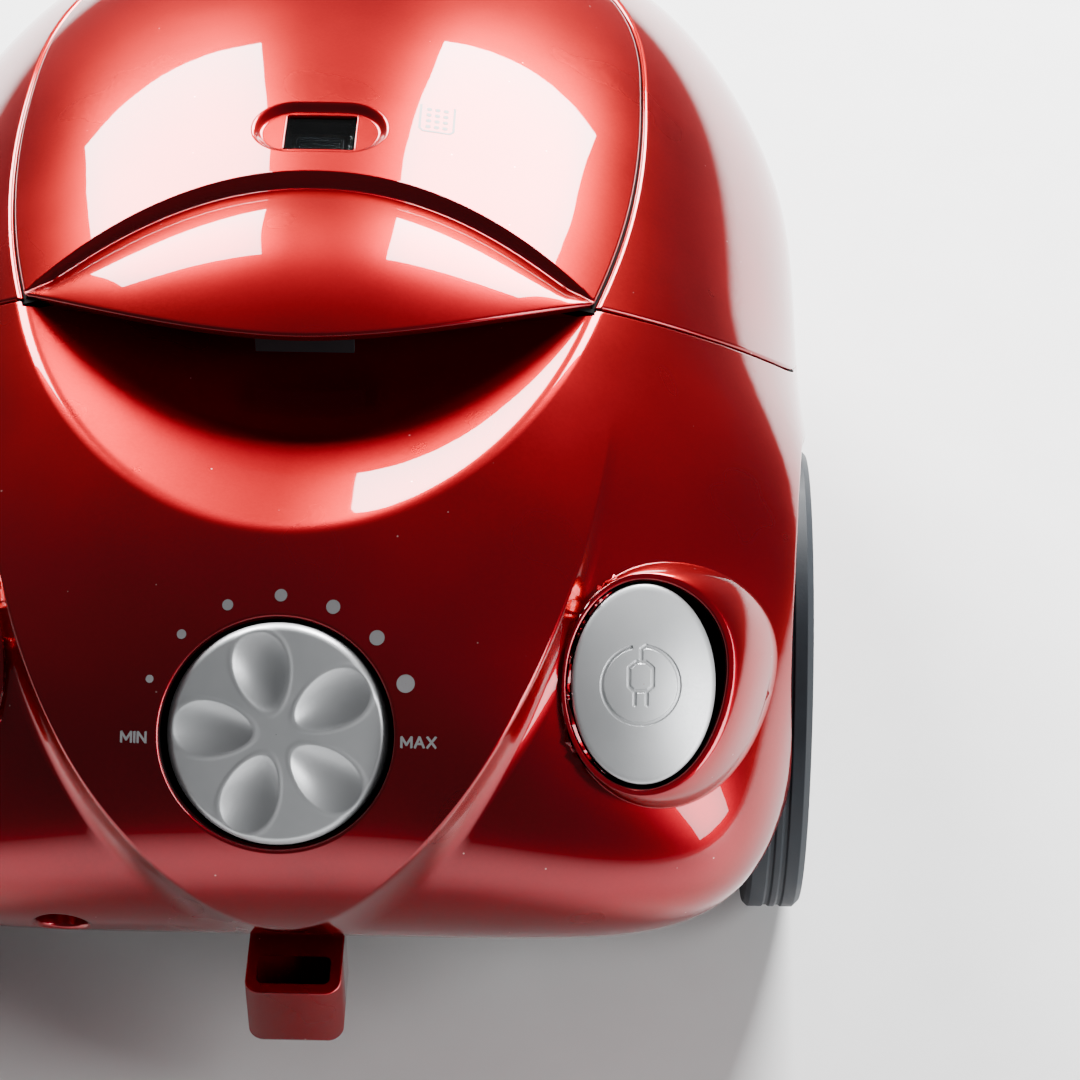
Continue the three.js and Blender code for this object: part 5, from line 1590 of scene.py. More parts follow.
class Finishes:
    """Makes each finish once and hands it out."""

    def __init__(self) -> None:
        """Builds every material."""
        recipes = {
            Finish.RED: CandyLacquer(),
            Finish.SILVER: SatinLacquer(),
            # ABS from a spark-eroded mould: near black, with a fine dull grain.
            Finish.GREY: MouldedPlastic("charcoal_ABS_eroded_grain", "#2E3034", "#27292C", 0.55, 0.7, 0.03),
            # ABS from a satin mould: blue grey, with a soft shine on its edges.
            Finish.SLATE: MouldedPlastic("slate_ABS_satin", "#414A53", "#39424A", 0.42, 0.9, 0.015),
            # Unpainted polypropylene: milky and slightly waxy.
            Finish.WHITE: MouldedPlastic("natural_white_polypropylene", "#E4E4E0", "#D8D8D3", 0.5, 1.2, 0.02),
            # Acetal: slippery, with a clear orange that marks what a hand may move.
            Finish.ORANGE: MouldedPlastic("orange_acetal_moulded", "#D9691F", "#C65C18", 0.42, 1.0, 0.015),
            # Pressed card: brown, quite matt, rough to the eye.
            Finish.CARD: MouldedPlastic("pressed_card", "#C2A274", "#AE8E62", 0.85, 0.9, 0.08, 0.2),
            # Glass fibre board under solder mask: dark green and smooth.
            Finish.BOARD: MouldedPlastic("fibreglass_board_green_mask", "#1F5A30", "#184A27", 0.35,
                                         1.4, 0.01),
            # Black rubber: dull, with a grey bloom. The tyre's rubber is bluer and cleaner.
            Finish.RUBBER: Rubber("black_moulded_rubber", "#161718", "#2A2B2D", 0.7),
            Finish.TYRE: Rubber("slate_thermoplastic_rubber", "#262B31", "#30373E", 0.55),
            # Zinc plated steel: grey, with drawn lines. The copper's lines are its turns of wire.
            Finish.STEEL: Metal("zinc_plated_steel", "#B4B8BB", "#8F9498", 0.32),
            Finish.COPPER: Metal("lacquered_copper_winding", "#C1713B", "#8D4A22", 0.36,
                                 (1.0, 0.1, 1.0), 0.9),
            Finish.CLEAR: ClearPlastic(),
            # Fleece, foam and paper: fibres or pores that take all the shine away.
            Finish.FLEECE: Fleece("spun_fleece_dust_bag", "#E9E3D4", "#CFC7B4"),
            Finish.FOAM: Fleece("open_cell_filter_foam", "#5C6E84", "#3E4B5C", 1.6, 0.35),
            Finish.PAPER: Fleece("pleated_filter_paper", "#E6E5DD", "#CDCBC0", 0.8, 0.08),
        }
        self.made = {finish: recipe.material() for finish, recipe in recipes.items()}
        # Pad printing ink: an even, slightly satin film on the lacquer.
        grey_ink = MouldedPlastic("light_grey_pad_print_ink", "#A5A3A6", "#9B999C", 0.45, 0.5, 0.004)
        white_ink = MouldedPlastic("white_pad_print_ink", "#FFFFFF", "#F6F1F1", 0.4, 0.5, 0.004)
        self.print, self.white_print = grey_ink.material(), white_ink.material()
        # Painted shade for the seams, the dial and button recesses and the bracket's slot: a near-black matt
        # finish from which almost no light comes back.
        foam = MouldedPlastic("black_painted_gap_shade", "#060607", "#0A0A0B", 0.85, 1.0, 0.05, 0.2)
        self.painted_shade = foam.material()

    def __getitem__(self, finish: Finish) -> Material:
        """The material of one finish."""
        return self.made[finish]


# ---------------------------------------------------------------- turned and laid-on pieces
def rounded_profile(corners: Sequence[Sequence[float]], radius: float,
                    closed: bool = True) -> tuple[Array, Array]:
    """Rounds the corners of a line in a plane.

    Args:
        corners: the line's corners.
        radius: rounding, less where a side is short.
        closed: True for a loop.

    Returns:
        Points and unit normals pointing out of an anticlockwise loop.
    """
    line = np.array(corners, float)
    nxt = np.roll(line, -1, 0)
    if (line[:, 0] * nxt[:, 1] - nxt[:, 0] * line[:, 1]).sum() < 0:
        line = line[::-1]
    points, normals = [], []
    for i, here in enumerate(line):
        before, after = line[i - 1], line[(i + 1) % len(line)]
        came, goes = here - before, after - here
        near, far = np.linalg.norm(came), np.linalg.norm(goes)
        came, goes = came / near, goes / far
        n0, n1 = np.array([came[1], -came[0]]), np.array([goes[1], -goes[0]])
        if not closed and i in (0, len(line) - 1):
            points.append(here)
            normals.append(n1 if i == 0 else n0)
            continue
        turn = math.atan2(came[0] * goes[1] - came[1] * goes[0], float(came @ goes))
        reach = min(radius * abs(math.tan(turn / 2.0)), 0.45 * near, 0.45 * far)
        steps = max(2, int(abs(turn) / 0.3) + 2)
        start, end = here - came * reach, here + goes * reach
        for k in range(steps):
            t = k / (steps - 1)
            points.append((1 - t) ** 2 * start + 2 * t * (1 - t) * here + t**2 * end)
            mixed = n0 * (1 - t) + n1 * t
            normals.append(mixed / max(np.linalg.norm(mixed), 1e-9))
    return np.array(points), np.array(normals)


@dataclass(frozen=True)
class Axis:
    """A line in space to turn pieces about."""

    origin: tuple[float, float, float]
    along: tuple[float, float, float]

    def frame(self) -> tuple[Array, Array, Array]:
        """Two directions across the axis, and the axis."""
        along = unit(np.array(self.along, float))
        side = np.array([0.0, 0.0, 1.0]) if abs(along[2]) < 0.9 else np.array([1.0, 0.0, 0.0])
        first = unit(side - along * (side @ along))
        return first, np.cross(along, first), along


def turned(corners: Sequence[Sequence[float]], axis: Axis, radius: float = 0.6, count: int = 160,
           closed: bool = True) -> Shape:
    """A turned body: a profile of (radius, place along the axis) taken round the axis."""
    points, normals = rounded_profile(corners, radius, closed)
    first, second, along = axis.frame()
    turn = np.linspace(0.0, 2 * math.pi, count, endpoint=False)
    rim = np.cos(turn)[:, None] * first + np.sin(turn)[:, None] * second
    rows = [np.array(axis.origin) + rim * r + along * h for r, h in points]
    ways = [rim * nr + along * nh for nr, nh in normals]
    if closed:
        rows.append(rows[0])
        ways.append(ways[0])
    return strip(rows, ways, True)


def slab(outline: Array, low: float, high: float, place: Callable[[Array, float], Array], radius: float = 0.6,
         cap_low: bool = True) -> Shape:
    """A flat piece with rounded edges.

    Args:
        outline: closed outline (n, 2).
        low: height of the under side.
        high: height of the upper side.
        place: puts outline points at one height into space.
        radius: rounding of both edges.
        cap_low: False leaves the under side open.

    Returns:
        The shape.
    """
    ahead = unit(np.roll(outline, -1, 0) - np.roll(outline, 1, 0))
    out = np.stack([ahead[:, 1], -ahead[:, 0]], 1)
    nxt = np.roll(outline, -1, 0)
    if (outline[:, 0] * nxt[:, 1] - nxt[:, 0] * outline[:, 1]).sum() < 0:
        out = -out
    origin = place(np.zeros((1, 2)), 0.0)
    up = place(np.zeros((1, 2)), 1.0) - origin
    rows, ways = [], []
    for sign, level in ((-1, low), (1, high)):
        for k in range(5):
            a = math.pi / 2 * (k / 4 if sign > 0 else 1 - k / 4)
            rows.append(place(outline - out * radius * (1 - math.cos(a)),
                              level - sign * radius * (1 - math.sin(a))))
            side = place(out, 0.0) - origin
            ways.append(side * math.cos(a) + up * sign * math.sin(a))
    shape = strip(rows, ways, True)
    count = len(outline)
    for row, sign in ((rows[-1], 1.0),) + (((rows[0], -1.0),) if cap_low else ()):
        face = np.arange(count)
        turn = np.cross(row[count // 3] - row[0], row[2 * count // 3] - row[0]) @ up[0]
        shape.add(row, np.broadcast_to(up * sign, row.shape), [face if turn * sign > 0 else face[::-1]])
    return shape


def oblong(half_x: float, half_y: float, radius: float, count: int = 12) -> Array:
    """Outline of a rounded rectangle about the origin."""
    points = []
    for sx, sy, start in ((1, 1, 0.0), (-1, 1, 90.0), (-1, -1, 180.0), (1, -1, 270.0)):
        for k in range(count):
            a = math.radians(start + 90.0 * k / (count - 1))
            points.append([sx * (half_x - radius) + radius * math.cos(a),
                           sy * (half_y - radius) + radius * math.sin(a)])
    return np.array(points)


def lying(plan: Array, level: float) -> Array:
    """Points of an (x, y) plan at a height."""
    return np.column_stack([plan, np.full(len(plan), float(level))])


def standing(plan: Array, level: float) -> Array:
    """Points of a (y, z) plan at an x."""
    return np.column_stack([np.full(len(plan), float(level)), plan])


def ring_outline(centre: Sequence[float], radius: float, count: int = 40) -> Array:
    """Outline of a circle."""
    turn = np.linspace(0.0, 2 * math.pi, count, endpoint=False)
    return np.stack([centre[0] + radius * np.cos(turn), centre[1] + radius * np.sin(turn)], 1)


def stroke_outline(start: Sequence[float], end: Sequence[float], width: float) -> Array:
    """Outline of a straight pen stroke with square ends."""
    a, b = np.array(start, float), np.array(end, float)
    way = (b - a) / np.linalg.norm(b - a)
    side = np.array([-way[1], way[0]]) * width / 2
    a, b = a - way * width * 0.3, b + way * width * 0.3
    return resample(np.array([a - side, b - side, b + side, a + side]), 0.4, closed=True)


@dataclass
class PrintedMark:
    """Ink laid 0.04 mm over a surface."""

    lift: float = 0.05

    def film(self, outlines: Sequence[Array], surface: Callable[[Array], Array], out: Array) -> Shape:
        """Films over closed outlines, each no larger than a letter."""
        shape = Shape()
        for outline in outlines:
            top = surface(outline) + out * self.lift
            centre = surface(outline.mean(0)[None, :]) + out * self.lift
            way = np.broadcast_to(out, top.shape)
            shape.merge(strip([top, top * 0.02 + centre * 0.98], [way, way], True))
            shape.merge(strip([top, top - out * 0.1], [way, way], True))
        return shape


@dataclass
class DialScale:
    """Printed dots round the dial, with MAX and MIN."""

    circle: float = 36.7
    dots: tuple[tuple[float, float], ...] = ((90.0, 1.65), (67.5, 1.86), (45.0, 2.0), (22.5, 2.4),
                                             (112.5, 1.45), (135.0, 1.25), (157.5, 1.05))
    pen: float = 0.62
    cap: float = 3.4
    word_u: float = 37.7
    word_v: float = -1.3

    def letters(self, word: str) -> list[tuple[tuple[float, float], tuple[float, float]]]:
        """Pen strokes of a word of the letters M, A, X, I and N, one unit high, from u 0."""
        forms = {
            "M": (0.95, [((0, 0), (0, 1)), ((0, 1), (0.475, 0.25)), ((0.475, 0.25), (0.95, 1)),
                         ((0.95, 1), (0.95, 0))]),
            "A": (0.85, [((0, 0), (0.425, 1)), ((0.425, 1), (0.85, 0)), ((0.17, 0.36), (0.68, 0.36))]),
            "X": (0.8, [((0, 0), (0.8, 1)), ((0, 1), (0.8, 0))]),
            "I": (0.0, [((0, 0), (0, 1))]),
            "N": (0.75, [((0, 0), (0, 1)), ((0, 1), (0.75, 0)), ((0.75, 0), (0.75, 1))]),
        }
        strokes, at = [], 0.0
        for letter in word:
            wide, lines = forms[letter]
            strokes += [((at + a[0], a[1]), (at + b[0], b[1])) for a, b in lines]
            at += wide + 0.32
        shift = (at - 0.32) / 2
        return [((a[0] - shift, a[1] - 0.5), (b[0] - shift, b[1] - 0.5)) for a, b in strokes]

    def build(self, ink: Material) -> bpy.types.Object:
        """Prints the scale on the raised panel."""
        outlines = []
        for angle, radius in self.dots:
            a = math.radians(angle)
            outlines.append(ring_outline((self.circle * math.cos(a), self.circle * math.sin(a)), radius))
        tall = self.cap - self.pen
        for word, side in (("MAX", 1), ("MIN", -1)):
            for a, b in self.letters(word):
                put = [(side * self.word_u + p[0] * tall, self.word_v + p[1] * tall) for p in (a, b)]
                outlines.append(stroke_outline(put[0], put[1], self.pen))
        form = HousingForm()

        def surface(uv: Array) -> Array:
            """Points of the rear face at plan points."""
            return FACE.place(uv[:, 0], uv[:, 1], form.height(uv[:, 0], uv[:, 1]))

        made = PrintedMark().film(outlines, surface, FACE.out).mesh("dial_scale_print", ink)
        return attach(made, "root")


@dataclass
class LidPrint:
    """Printed pictogram of a filled dust cup on the lid."""

    x: float = 34.0
    y: float = 4.4
    pen: float = 0.7

    def build(self, ink: Material) -> bpy.types.Object:
        """Prints the pictogram on the lid."""
        cup = [(-5.0, 6.5), (-5.0, -5.2), (-3.9, -6.5), (3.9, -6.5), (5.0, -5.2), (5.0, 6.5)]
        outlines = [stroke_outline(cup[i], cup[i + 1], self.pen) for i in range(5)]
        outlines += [ring_outline((2.5 * i, 2.9 * j + 1.6), 0.8, 20)
                     for i in (-1, 0, 1) for j in (-2, -1, 0, 1)]
        outlines = [o + np.array([self.x, self.y]) for o in outlines]
        form = LidForm()

        def surface(xy: Array) -> Array:
            """Points of the lid's top at plan points."""
            return np.stack([xy[:, 0], xy[:, 1], form.height(xy[:, 0], xy[:, 1])], 1)

        made = PrintedMark().film(outlines, surface, np.array([0.0, 0.0, 1.0])).mesh("bag_full_print", ink)
        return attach(made, "lid")


def relief(rings: Array, count: int, across: float, along: float, height: Callable[[Array, Array], Array],
           centre: tuple[float, float]) -> Shape:
    """A heightfield on a round or oval plan in the face frame.

    Args:
        rings: shares of the radius, ending at 1.
        count: points in each ring.
        across: half width along u.
        along: half width along v.
        height: w over local (u, v).
        centre: where local (0, 0) lies.

    Returns:
        The shape, open underneath.
    """
    turn = np.linspace(0.0, 2 * math.pi, count, endpoint=False)
    rows, ways = [], []
    step = 0.05
    for share in rings:
        u, v = across * share * np.cos(turn), along * share * np.sin(turn)
        du = (height(u + step, v) - height(u - step, v)) / (2 * step)
        dv = (height(u, v + step) - height(u, v - step)) / (2 * step)
        rows.append(FACE.place(u + centre[0], v + centre[1], height(u, v)))
        ways.append(unit(FACE.out - du[:, None] * np.array([1.0, 0, 0]) - dv[:, None] * FACE.up))
    return strip(rows, ways, True)


@dataclass
class PowerDial:
    """Silver dial with five egg-shaped finger dimples."""

    radius: float = 29.5
    bore: float = 4.0
    foot: float = -8.4
    rim_drop: float = 3.4
    dome: float = 5.0
    angles: tuple[float, ...] = (104.0, 32.0, -40.0, -112.0, 176.0)
    petal_at: float = 17.0
    petal_along: float = 10.9
    petal_across: float = 7.3
    petal_depth: float = 2.9

    def height(self, u: Array, v: Array) -> Array:
        """Height of the dial's top."""
        r = np.hypot(u, v)
        top = self.dome - 1.5 * (r / self.radius) ** 2
        edge = np.clip((r - self.radius + 2.2) / 2.2, 0.0, 1.0)
        top = top - self.rim_drop * (1.0 - np.sqrt(np.maximum(1.0 - edge**2, 0.0)))
        for angle in self.angles:
            a = math.radians(angle)
            out = u * math.cos(a) + v * math.sin(a) - self.petal_at
            side = -u * math.sin(a) + v * math.cos(a)
            wide = self.petal_across * (1.0 + 0.2 * np.clip(out / self.petal_along, -1.0, 1.0))
            t = np.sqrt((out / self.petal_along) ** 2 + (side / wide) ** 2)
            bowl = np.clip(1.0 - t**2, 0.0, None)
            lip = np.exp(-(((t - 1.05) / 0.08) ** 2))
            top = top - self.petal_depth * (np.sqrt(bowl**2 + 0.004) - 0.0632) + 0.15 * lip
        return top

    def build(self, finish: Material) -> bpy.types.Object:
        """Builds the dial."""
        rings = 1.0 - (1.0 - np.linspace(0.004, 1.0, 120)) ** 1.15
        shape = relief(rings, 420, self.radius, self.radius, self.height, (0.0, 0.0))
        turn = np.linspace(0.0, 2 * math.pi, 420, endpoint=False)
        u, v = np.cos(turn), np.sin(turn)
        top = float(self.height(np.array([self.radius]), np.array([0.0]))[0])
        corners = ((self.radius, top), (self.radius, self.foot), (self.bore, self.foot))
        rows = [FACE.place(u * r, v * r, w) for r, w in corners]
        side = FACE.place(u, v, 0.0) - FACE.place(0.0, 0.0, 0.0)
        under = np.broadcast_to(-FACE.out, rows[0].shape)
        shape.merge(strip(rows[:2], [side, side], True)).merge(strip(rows[1:], [under, under], True))
        made = shape.mesh("power_dial_turned", finish)
        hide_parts("power_dial")
        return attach(made, "dial")


class ButtonKind(Enum):
    """The two push buttons: their side of the face and what they are for."""

    POWER = "power"
    REWIND = "rewind"


@dataclass
class PushButton:
    """Oval silver push button with a pressed-in pictogram."""

    kind: ButtonKind
    crown: float = 3.3
    groove: float = 1.0
    depth: float = 0.4
    skirt: float = 10.0

    @property
    def side(self) -> int:
        """1 on the right, -1 on the left."""
        return 1 if self.kind is ButtonKind.REWIND else -1

    def lines(self) -> list[tuple[tuple[float, float], tuple[float, float]]]:
        """The pictogram's straight grooves: a plug and its cord, or a power mark's bar."""
        if self.kind is ButtonKind.POWER:
            return [((0.0, 12.5), (0.0, 3.0))]
        plug = [(1.2, 6.2), (3.2, 4.6), (3.2, -0.3), (1.9, -1.6),
                (-1.9, -1.6), (-3.2, -0.3), (-3.2, 4.6), (-1.2, 6.2)]
        lines = [(plug[i], plug[(i + 1) % 8]) for i in range(8)]
        return lines + [((-1.6, -2.0), (-1.6, -5.2)), ((1.6, -2.0), (1.6, -5.2)), ((0.0, 6.4), (0.0, 9.5)),
                        ((0.0, 9.5), (1.35, 10.5))]

    def ink(self, u: Array, v: Array) -> Array:
        """Distance from the pictogram's grooves."""
        x, y = u + 0.8 * self.side, v + 0.3
        r, a = np.hypot(x, y), np.degrees(np.arctan2(y, x))
        low, high = (82.5, 103.3) if self.kind is ButtonKind.REWIND else (72.0, 108.0)
        best = np.abs(r - 10.4) + np.where((a > low) & (a < high), 9.0, 0.0)
        for start, end in self.lines():
            s, e = np.array(start), np.array(end)
            way = e - s
            t = np.clip(((x - s[0]) * way[0] + (y - s[1]) * way[1]) / (way @ way), 0.0, 1.0)
            best = np.minimum(best, np.hypot(x - s[0] - t * way[0], y - s[1] - t * way[1]))
        return best

    def height(self, u: Array, v: Array) -> Array:
        """Height of the cap at local (u, v)."""
        share = np.hypot(u / BOSS.across, v / BOSS.along)
        plane = BOSS.plane(self.side * (BOSS.u + self.side * u), v + BOSS.v)
        cap = self.crown * (1.0 - share**2.0)
        edge = np.clip((share - 0.93) / 0.07, 0.0, 1.0)
        cap = cap - 0.8 * (1.0 - np.sqrt(np.maximum(1.0 - edge**2, 0.0)))
        groove = 1.0 - smoothstep(self.ink(u, v), self.groove * 0.3, self.groove * 0.62)
        return plane + 0.3 + cap - self.depth * groove

    def build(self, finish: Material) -> bpy.types.Object:
        """Builds the button."""
        rings = 1.0 - (1.0 - np.linspace(0.004, 1.0, 130)) ** 1.1
        centre = (self.side * BOSS.u, BOSS.v)
        shape = relief(rings, 420, BOSS.across, BOSS.along, self.height, centre)
        turn = np.linspace(0.0, 2 * math.pi, 420, endpoint=False)
        u, v = BOSS.across * np.cos(turn), BOSS.along * np.sin(turn)
        top = self.height(u, v)
        rows = [FACE.place(u + centre[0], v + centre[1], w) for w in (top, top - self.skirt)]
        side = unit(FACE.place(np.cos(turn) / BOSS.across, np.sin(turn) / BOSS.along, 0.0)
                    - FACE.place(0.0, 0.0, 0.0))
        shape.merge(strip(rows, [side, side], True))
        made = shape.mesh(f"{self.kind.value}_button_cap", finish)
        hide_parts(f"{self.kind.value}_button")
        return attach(made, f"{self.kind.value}_key")


@dataclass
class SeamShadeStrips:
    """Near-black strips under every seam, painted shade that shows as the black line of the seam."""

    half: float = 0.75
    depth: float = 1.5

    def band(self, lines: Sequence[Array], closed: bool) -> Shape:
        """A strip over lines on the skin, pushed in under it."""
        low = [line - SKIN.normal(line) * self.depth for line in lines]
        return strip(low, [SKIN.normal(line) for line in lines], closed)

    def build(self, finish: Material) -> bpy.types.Object:
        """Builds the strips behind the side seam and round the lid."""
        seam = self.band([seam_line(shift, -66.0) for shift in (-self.half, self.half)], False)
        plans = [LID.outline(margin, front)[1] for margin, front in ((-0.5, 104.8), (1.1, 111.4))]
        lid = self.band([on_skin_from_above(resample_to(plan, 500)) for plan in plans], False)
        made = seam.merge(lid).mesh("seam_painted_shade_strips", finish)
        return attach(made, "root")


def resample_to(line: Array, count: int) -> Array:
    """The line with this many evenly spaced points."""
    steps = np.linalg.norm(np.diff(line, axis=0), axis=1)
    along = np.concatenate([[0.0], np.cumsum(steps)])
    at = np.linspace(0.0, along[-1], count)
    return np.stack([np.interp(at, along, line[:, k]) for k in range(line.shape[1])], 1)


@dataclass
class RearWheel:
    """One rear wheel: turned slate disc, tyre and silver hub cap."""

    side: int
    y: float = -92.8
    z: float = 69.0

    def build(self, finishes: Finishes) -> list[bpy.types.Object]:
        """Builds the tyre, disc and hub cap."""
        word = "right" if self.side > 0 else "left"
        axis = Axis((0.0, self.y, self.z), (float(self.side), 0.0, 0.0))
        tread = [[60.3, 129], [67.6, 129], [69, 130.4], [69, 134.6], [68.5, 135.1], [68.5, 136.1],
                 [69, 136.6], [69, 138.2], [68.5, 138.7], [68.5, 139.7], [69, 140.2], [69, 143.7],
                 [67.2, 145.5], [60.3, 145.5]]
        disc = [[4.4, 130], [14, 130], [16, 136], [60, 136], [60, 144.4], [56, 144.4],
                [55, 143.2], [51, 143.2], [44, 141], [16, 141], [14.4, 143.4], [4.4, 143.4]]
        cap = [[0.02, 143.7], [12, 143.7], [11, 145.0], [0.02, 145.4]]
        parts = []
        for name, profile, radius, finish in (("tyre", tread, 0.5, Finish.TYRE),
                                              ("disc", disc, 0.8, Finish.SLATE),
                                              ("cap", cap, 0.5, Finish.SILVER)):
            node = {"tyre": "wheel_tyre_", "disc": "wheel_disc_", "cap": "hub_cap_"}[name] + word
            made = turned(profile, axis, radius, 200).mesh(f"rear_wheel_{name}_{word}", finishes[finish])
            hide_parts(node)
            parts.append(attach(made, f"rear_wheel_{word}"))
        return parts


@dataclass
class HoseInlet:
    """Front collar that the hose snaps into."""

    z: float = 118.0

    def build(self, finishes: Finishes) -> bpy.types.Object:
        """Builds the collar's lip; the rest of the collar is the CAD node behind it."""
        axis = Axis((0.0, 0.0, self.z), (0.0, 1.0, 0.0))
        lip = [[22.6, 217.75], [30.6, 217.75], [33, 214.6], [34.05, 210], [34.05, 186.0], [33.9, 186.0],
               [33.9, 209.9], [32.8, 214.2], [30.4, 217.3], [22.6, 217.3]]
        made = turned(lip, axis, 0.7, 180).mesh("hose_inlet_lip", finishes[Finish.GREY])
        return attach(made, "root")


@dataclass
class ParkingBracket:
    """Red loop under the rear edge that holds the parked nozzle."""

    half: float = 13.6
    back: float = -207.0
    front: float = -178.0
    corner: float = 4.5
    low: float = 34.0
    high: float = 56.0
    slot: tuple[float, float, float] = (10.4, 5.0, 2.0)
    slot_y: float = -198.8
    floor: tuple[float, float] = (34.4, 36.0)

    def build(self, finish: Material, painted_shade: Material) -> bpy.types.Object:
        """Builds the loop with rounded edges and a near-black floor in its slot, which is painted shade."""
        middle = (self.back + self.front) / 2
        outer = oblong(self.half, (self.front - self.back) / 2, self.corner) + np.array([0.0, middle])
        inner = oblong(*self.slot) + np.array([0.0, self.slot_y])

        def out(plan: Array) -> Array:
            """Directions away from the loop's middle."""
            return unit(plan - np.array([0.0, middle]))

        # Three rings round each edge: how far out, and at what height.
        over = ((-0.8, self.high), (-0.25, self.high - 0.2), (0, self.high - 0.8))
        under = ((0, self.low + 0.8), (-0.25, self.low + 0.2), (-0.8, self.low))
        edges = [lying(outer + out(outer) * grow, level) for grow, level in over + under]
        ways = []
        loop = edges + [lying(inner, self.low), lying(inner, self.high)]
        centre = np.array([0.0, self.slot_y, (self.low + self.high) / 2])
        for index, row in enumerate(loop):
            flat = np.concatenate([out(row[:, :2]), np.zeros((len(row), 1))], 1)
            up = {0: 1.0, 1: 0.7, 2: 0.0, 3: 0.0, 4: -0.7, 5: -1.0}.get(index)
            if up is None:
                inside = unit(centre - row)
                inside[:, 2] = 0.0
                ways.append(unit(inside))
            else:
                ways.append(unit(flat * (1.0 - abs(up)) + np.array([0.0, 0.0, up])))
        shape = strip(loop[:6], ways[:6], True)
        shape.merge(strip([loop[5], loop[6]], [np.broadcast_to([0.0, 0.0, -1.0], loop[5].shape)] * 2, True))
        shape.merge(strip([loop[6], loop[7]], [ways[6], ways[7]], True))
        shape.merge(strip([loop[7], loop[0]], [np.broadcast_to([0.0, 0.0, 1.0], loop[0].shape)] * 2, True))
        # Near-black floor in the slot: painted shade.
        floor = slab(inner * [1.04, 1.0], *self.floor, lying, 0.2)
        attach(floor.mesh("parking_loop_floor", painted_shade), "root")
        made = shape.mesh("parking_loop", finish)
        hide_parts("parking_bracket")
        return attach(made, "root")


@dataclass
class LidInside:
    """Skirt over the bag chamber and two hinge lugs, under the lid."""

    centre_y: float = 54.2
    half_x: float = 89.5
    half_y: float = 78.5
    corner: float = 43.5
    wall: float = 2.4
    foot: float = 169.2
    lug_x: tuple[float, float] = (30.0, 38.0)
    lug: tuple[tuple[float, float], ...] = ((139.0, 173.5), (153.0, 173.5), (157.4, 177.9), (153.0, 182.3),
                                            (147.5, 182.3), (145.0, 189.5), (139.0, 191.5))

    def skirt(self) -> Shape:
        """The band that closes on the chamber's seal."""
        plans = [oblong(self.half_x - inset, self.half_y - inset, self.corner - inset, 24)
                 + [0.0, self.centre_y] for inset in (0.0, self.wall)]
        feet = [lying(plan, self.foot) for plan in plans]
        tops = [on_skin_from_above(plan) - np.array([0.0, 0.0, 2.0]) for plan in plans]
        out = unit(np.column_stack([plans[0] - [0.0, self.centre_y], np.zeros(len(plans[0]))]))
        down = np.broadcast_to(np.array([0.0, 0.0, -1.0]), out.shape)
        shape = strip([feet[0], tops[0]], [out, out], True)
        shape.merge(strip([feet[0], feet[1]], [down, down], True))
        return shape.merge(strip([feet[1], tops[1]], [-out, -out], True))

    def build(self, finish: Material) -> bpy.types.Object:
        """Builds the skirt and the lugs, riding on the lid."""
        shape = self.skirt()
        outline = resample(np.array(self.lug), 0.8, closed=True)
        for side in (-1, 1):
            low, high = sorted(side * x for x in self.lug_x)
            shape.merge(slab(outline, low, high, standing, 0.5))
        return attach(shape.mesh("lid_skirt_and_lugs", finish), "lid")


@dataclass
class IndicatorFlag:
    """Grey bag-full flag behind the window, with moulded ridges."""

    half: tuple[float, float] = (7.0, 3.5)
    y: float = -6.0
    low: float = 197.4
    top: float = 199.6
    ridge_top: float = 200.2
    ridges: tuple[float, ...] = (-2.4, -1.2, 0.0, 1.2, 2.4)

    def build(self, finish: Material) -> bpy.types.Object:
        """Builds the flag."""
        def place(plan: Array, level: float) -> Array:
            """Points of the flag's plan at a height."""
            return lying(plan + [0.0, self.y], level)

        shape = slab(oblong(*self.half, 1.6), self.low, self.top, place, 0.4)
        for at in self.ridges:
            bar = oblong(self.half[0] - 1.0, 0.35, 0.3, 5) + [0.0, at]
            shape.merge(slab(bar, self.top - 0.2, self.ridge_top, place, 0.15))
        made = shape.mesh("bag_full_flag", finish)
        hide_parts("indicator_flag")
        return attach(made, "indicator")


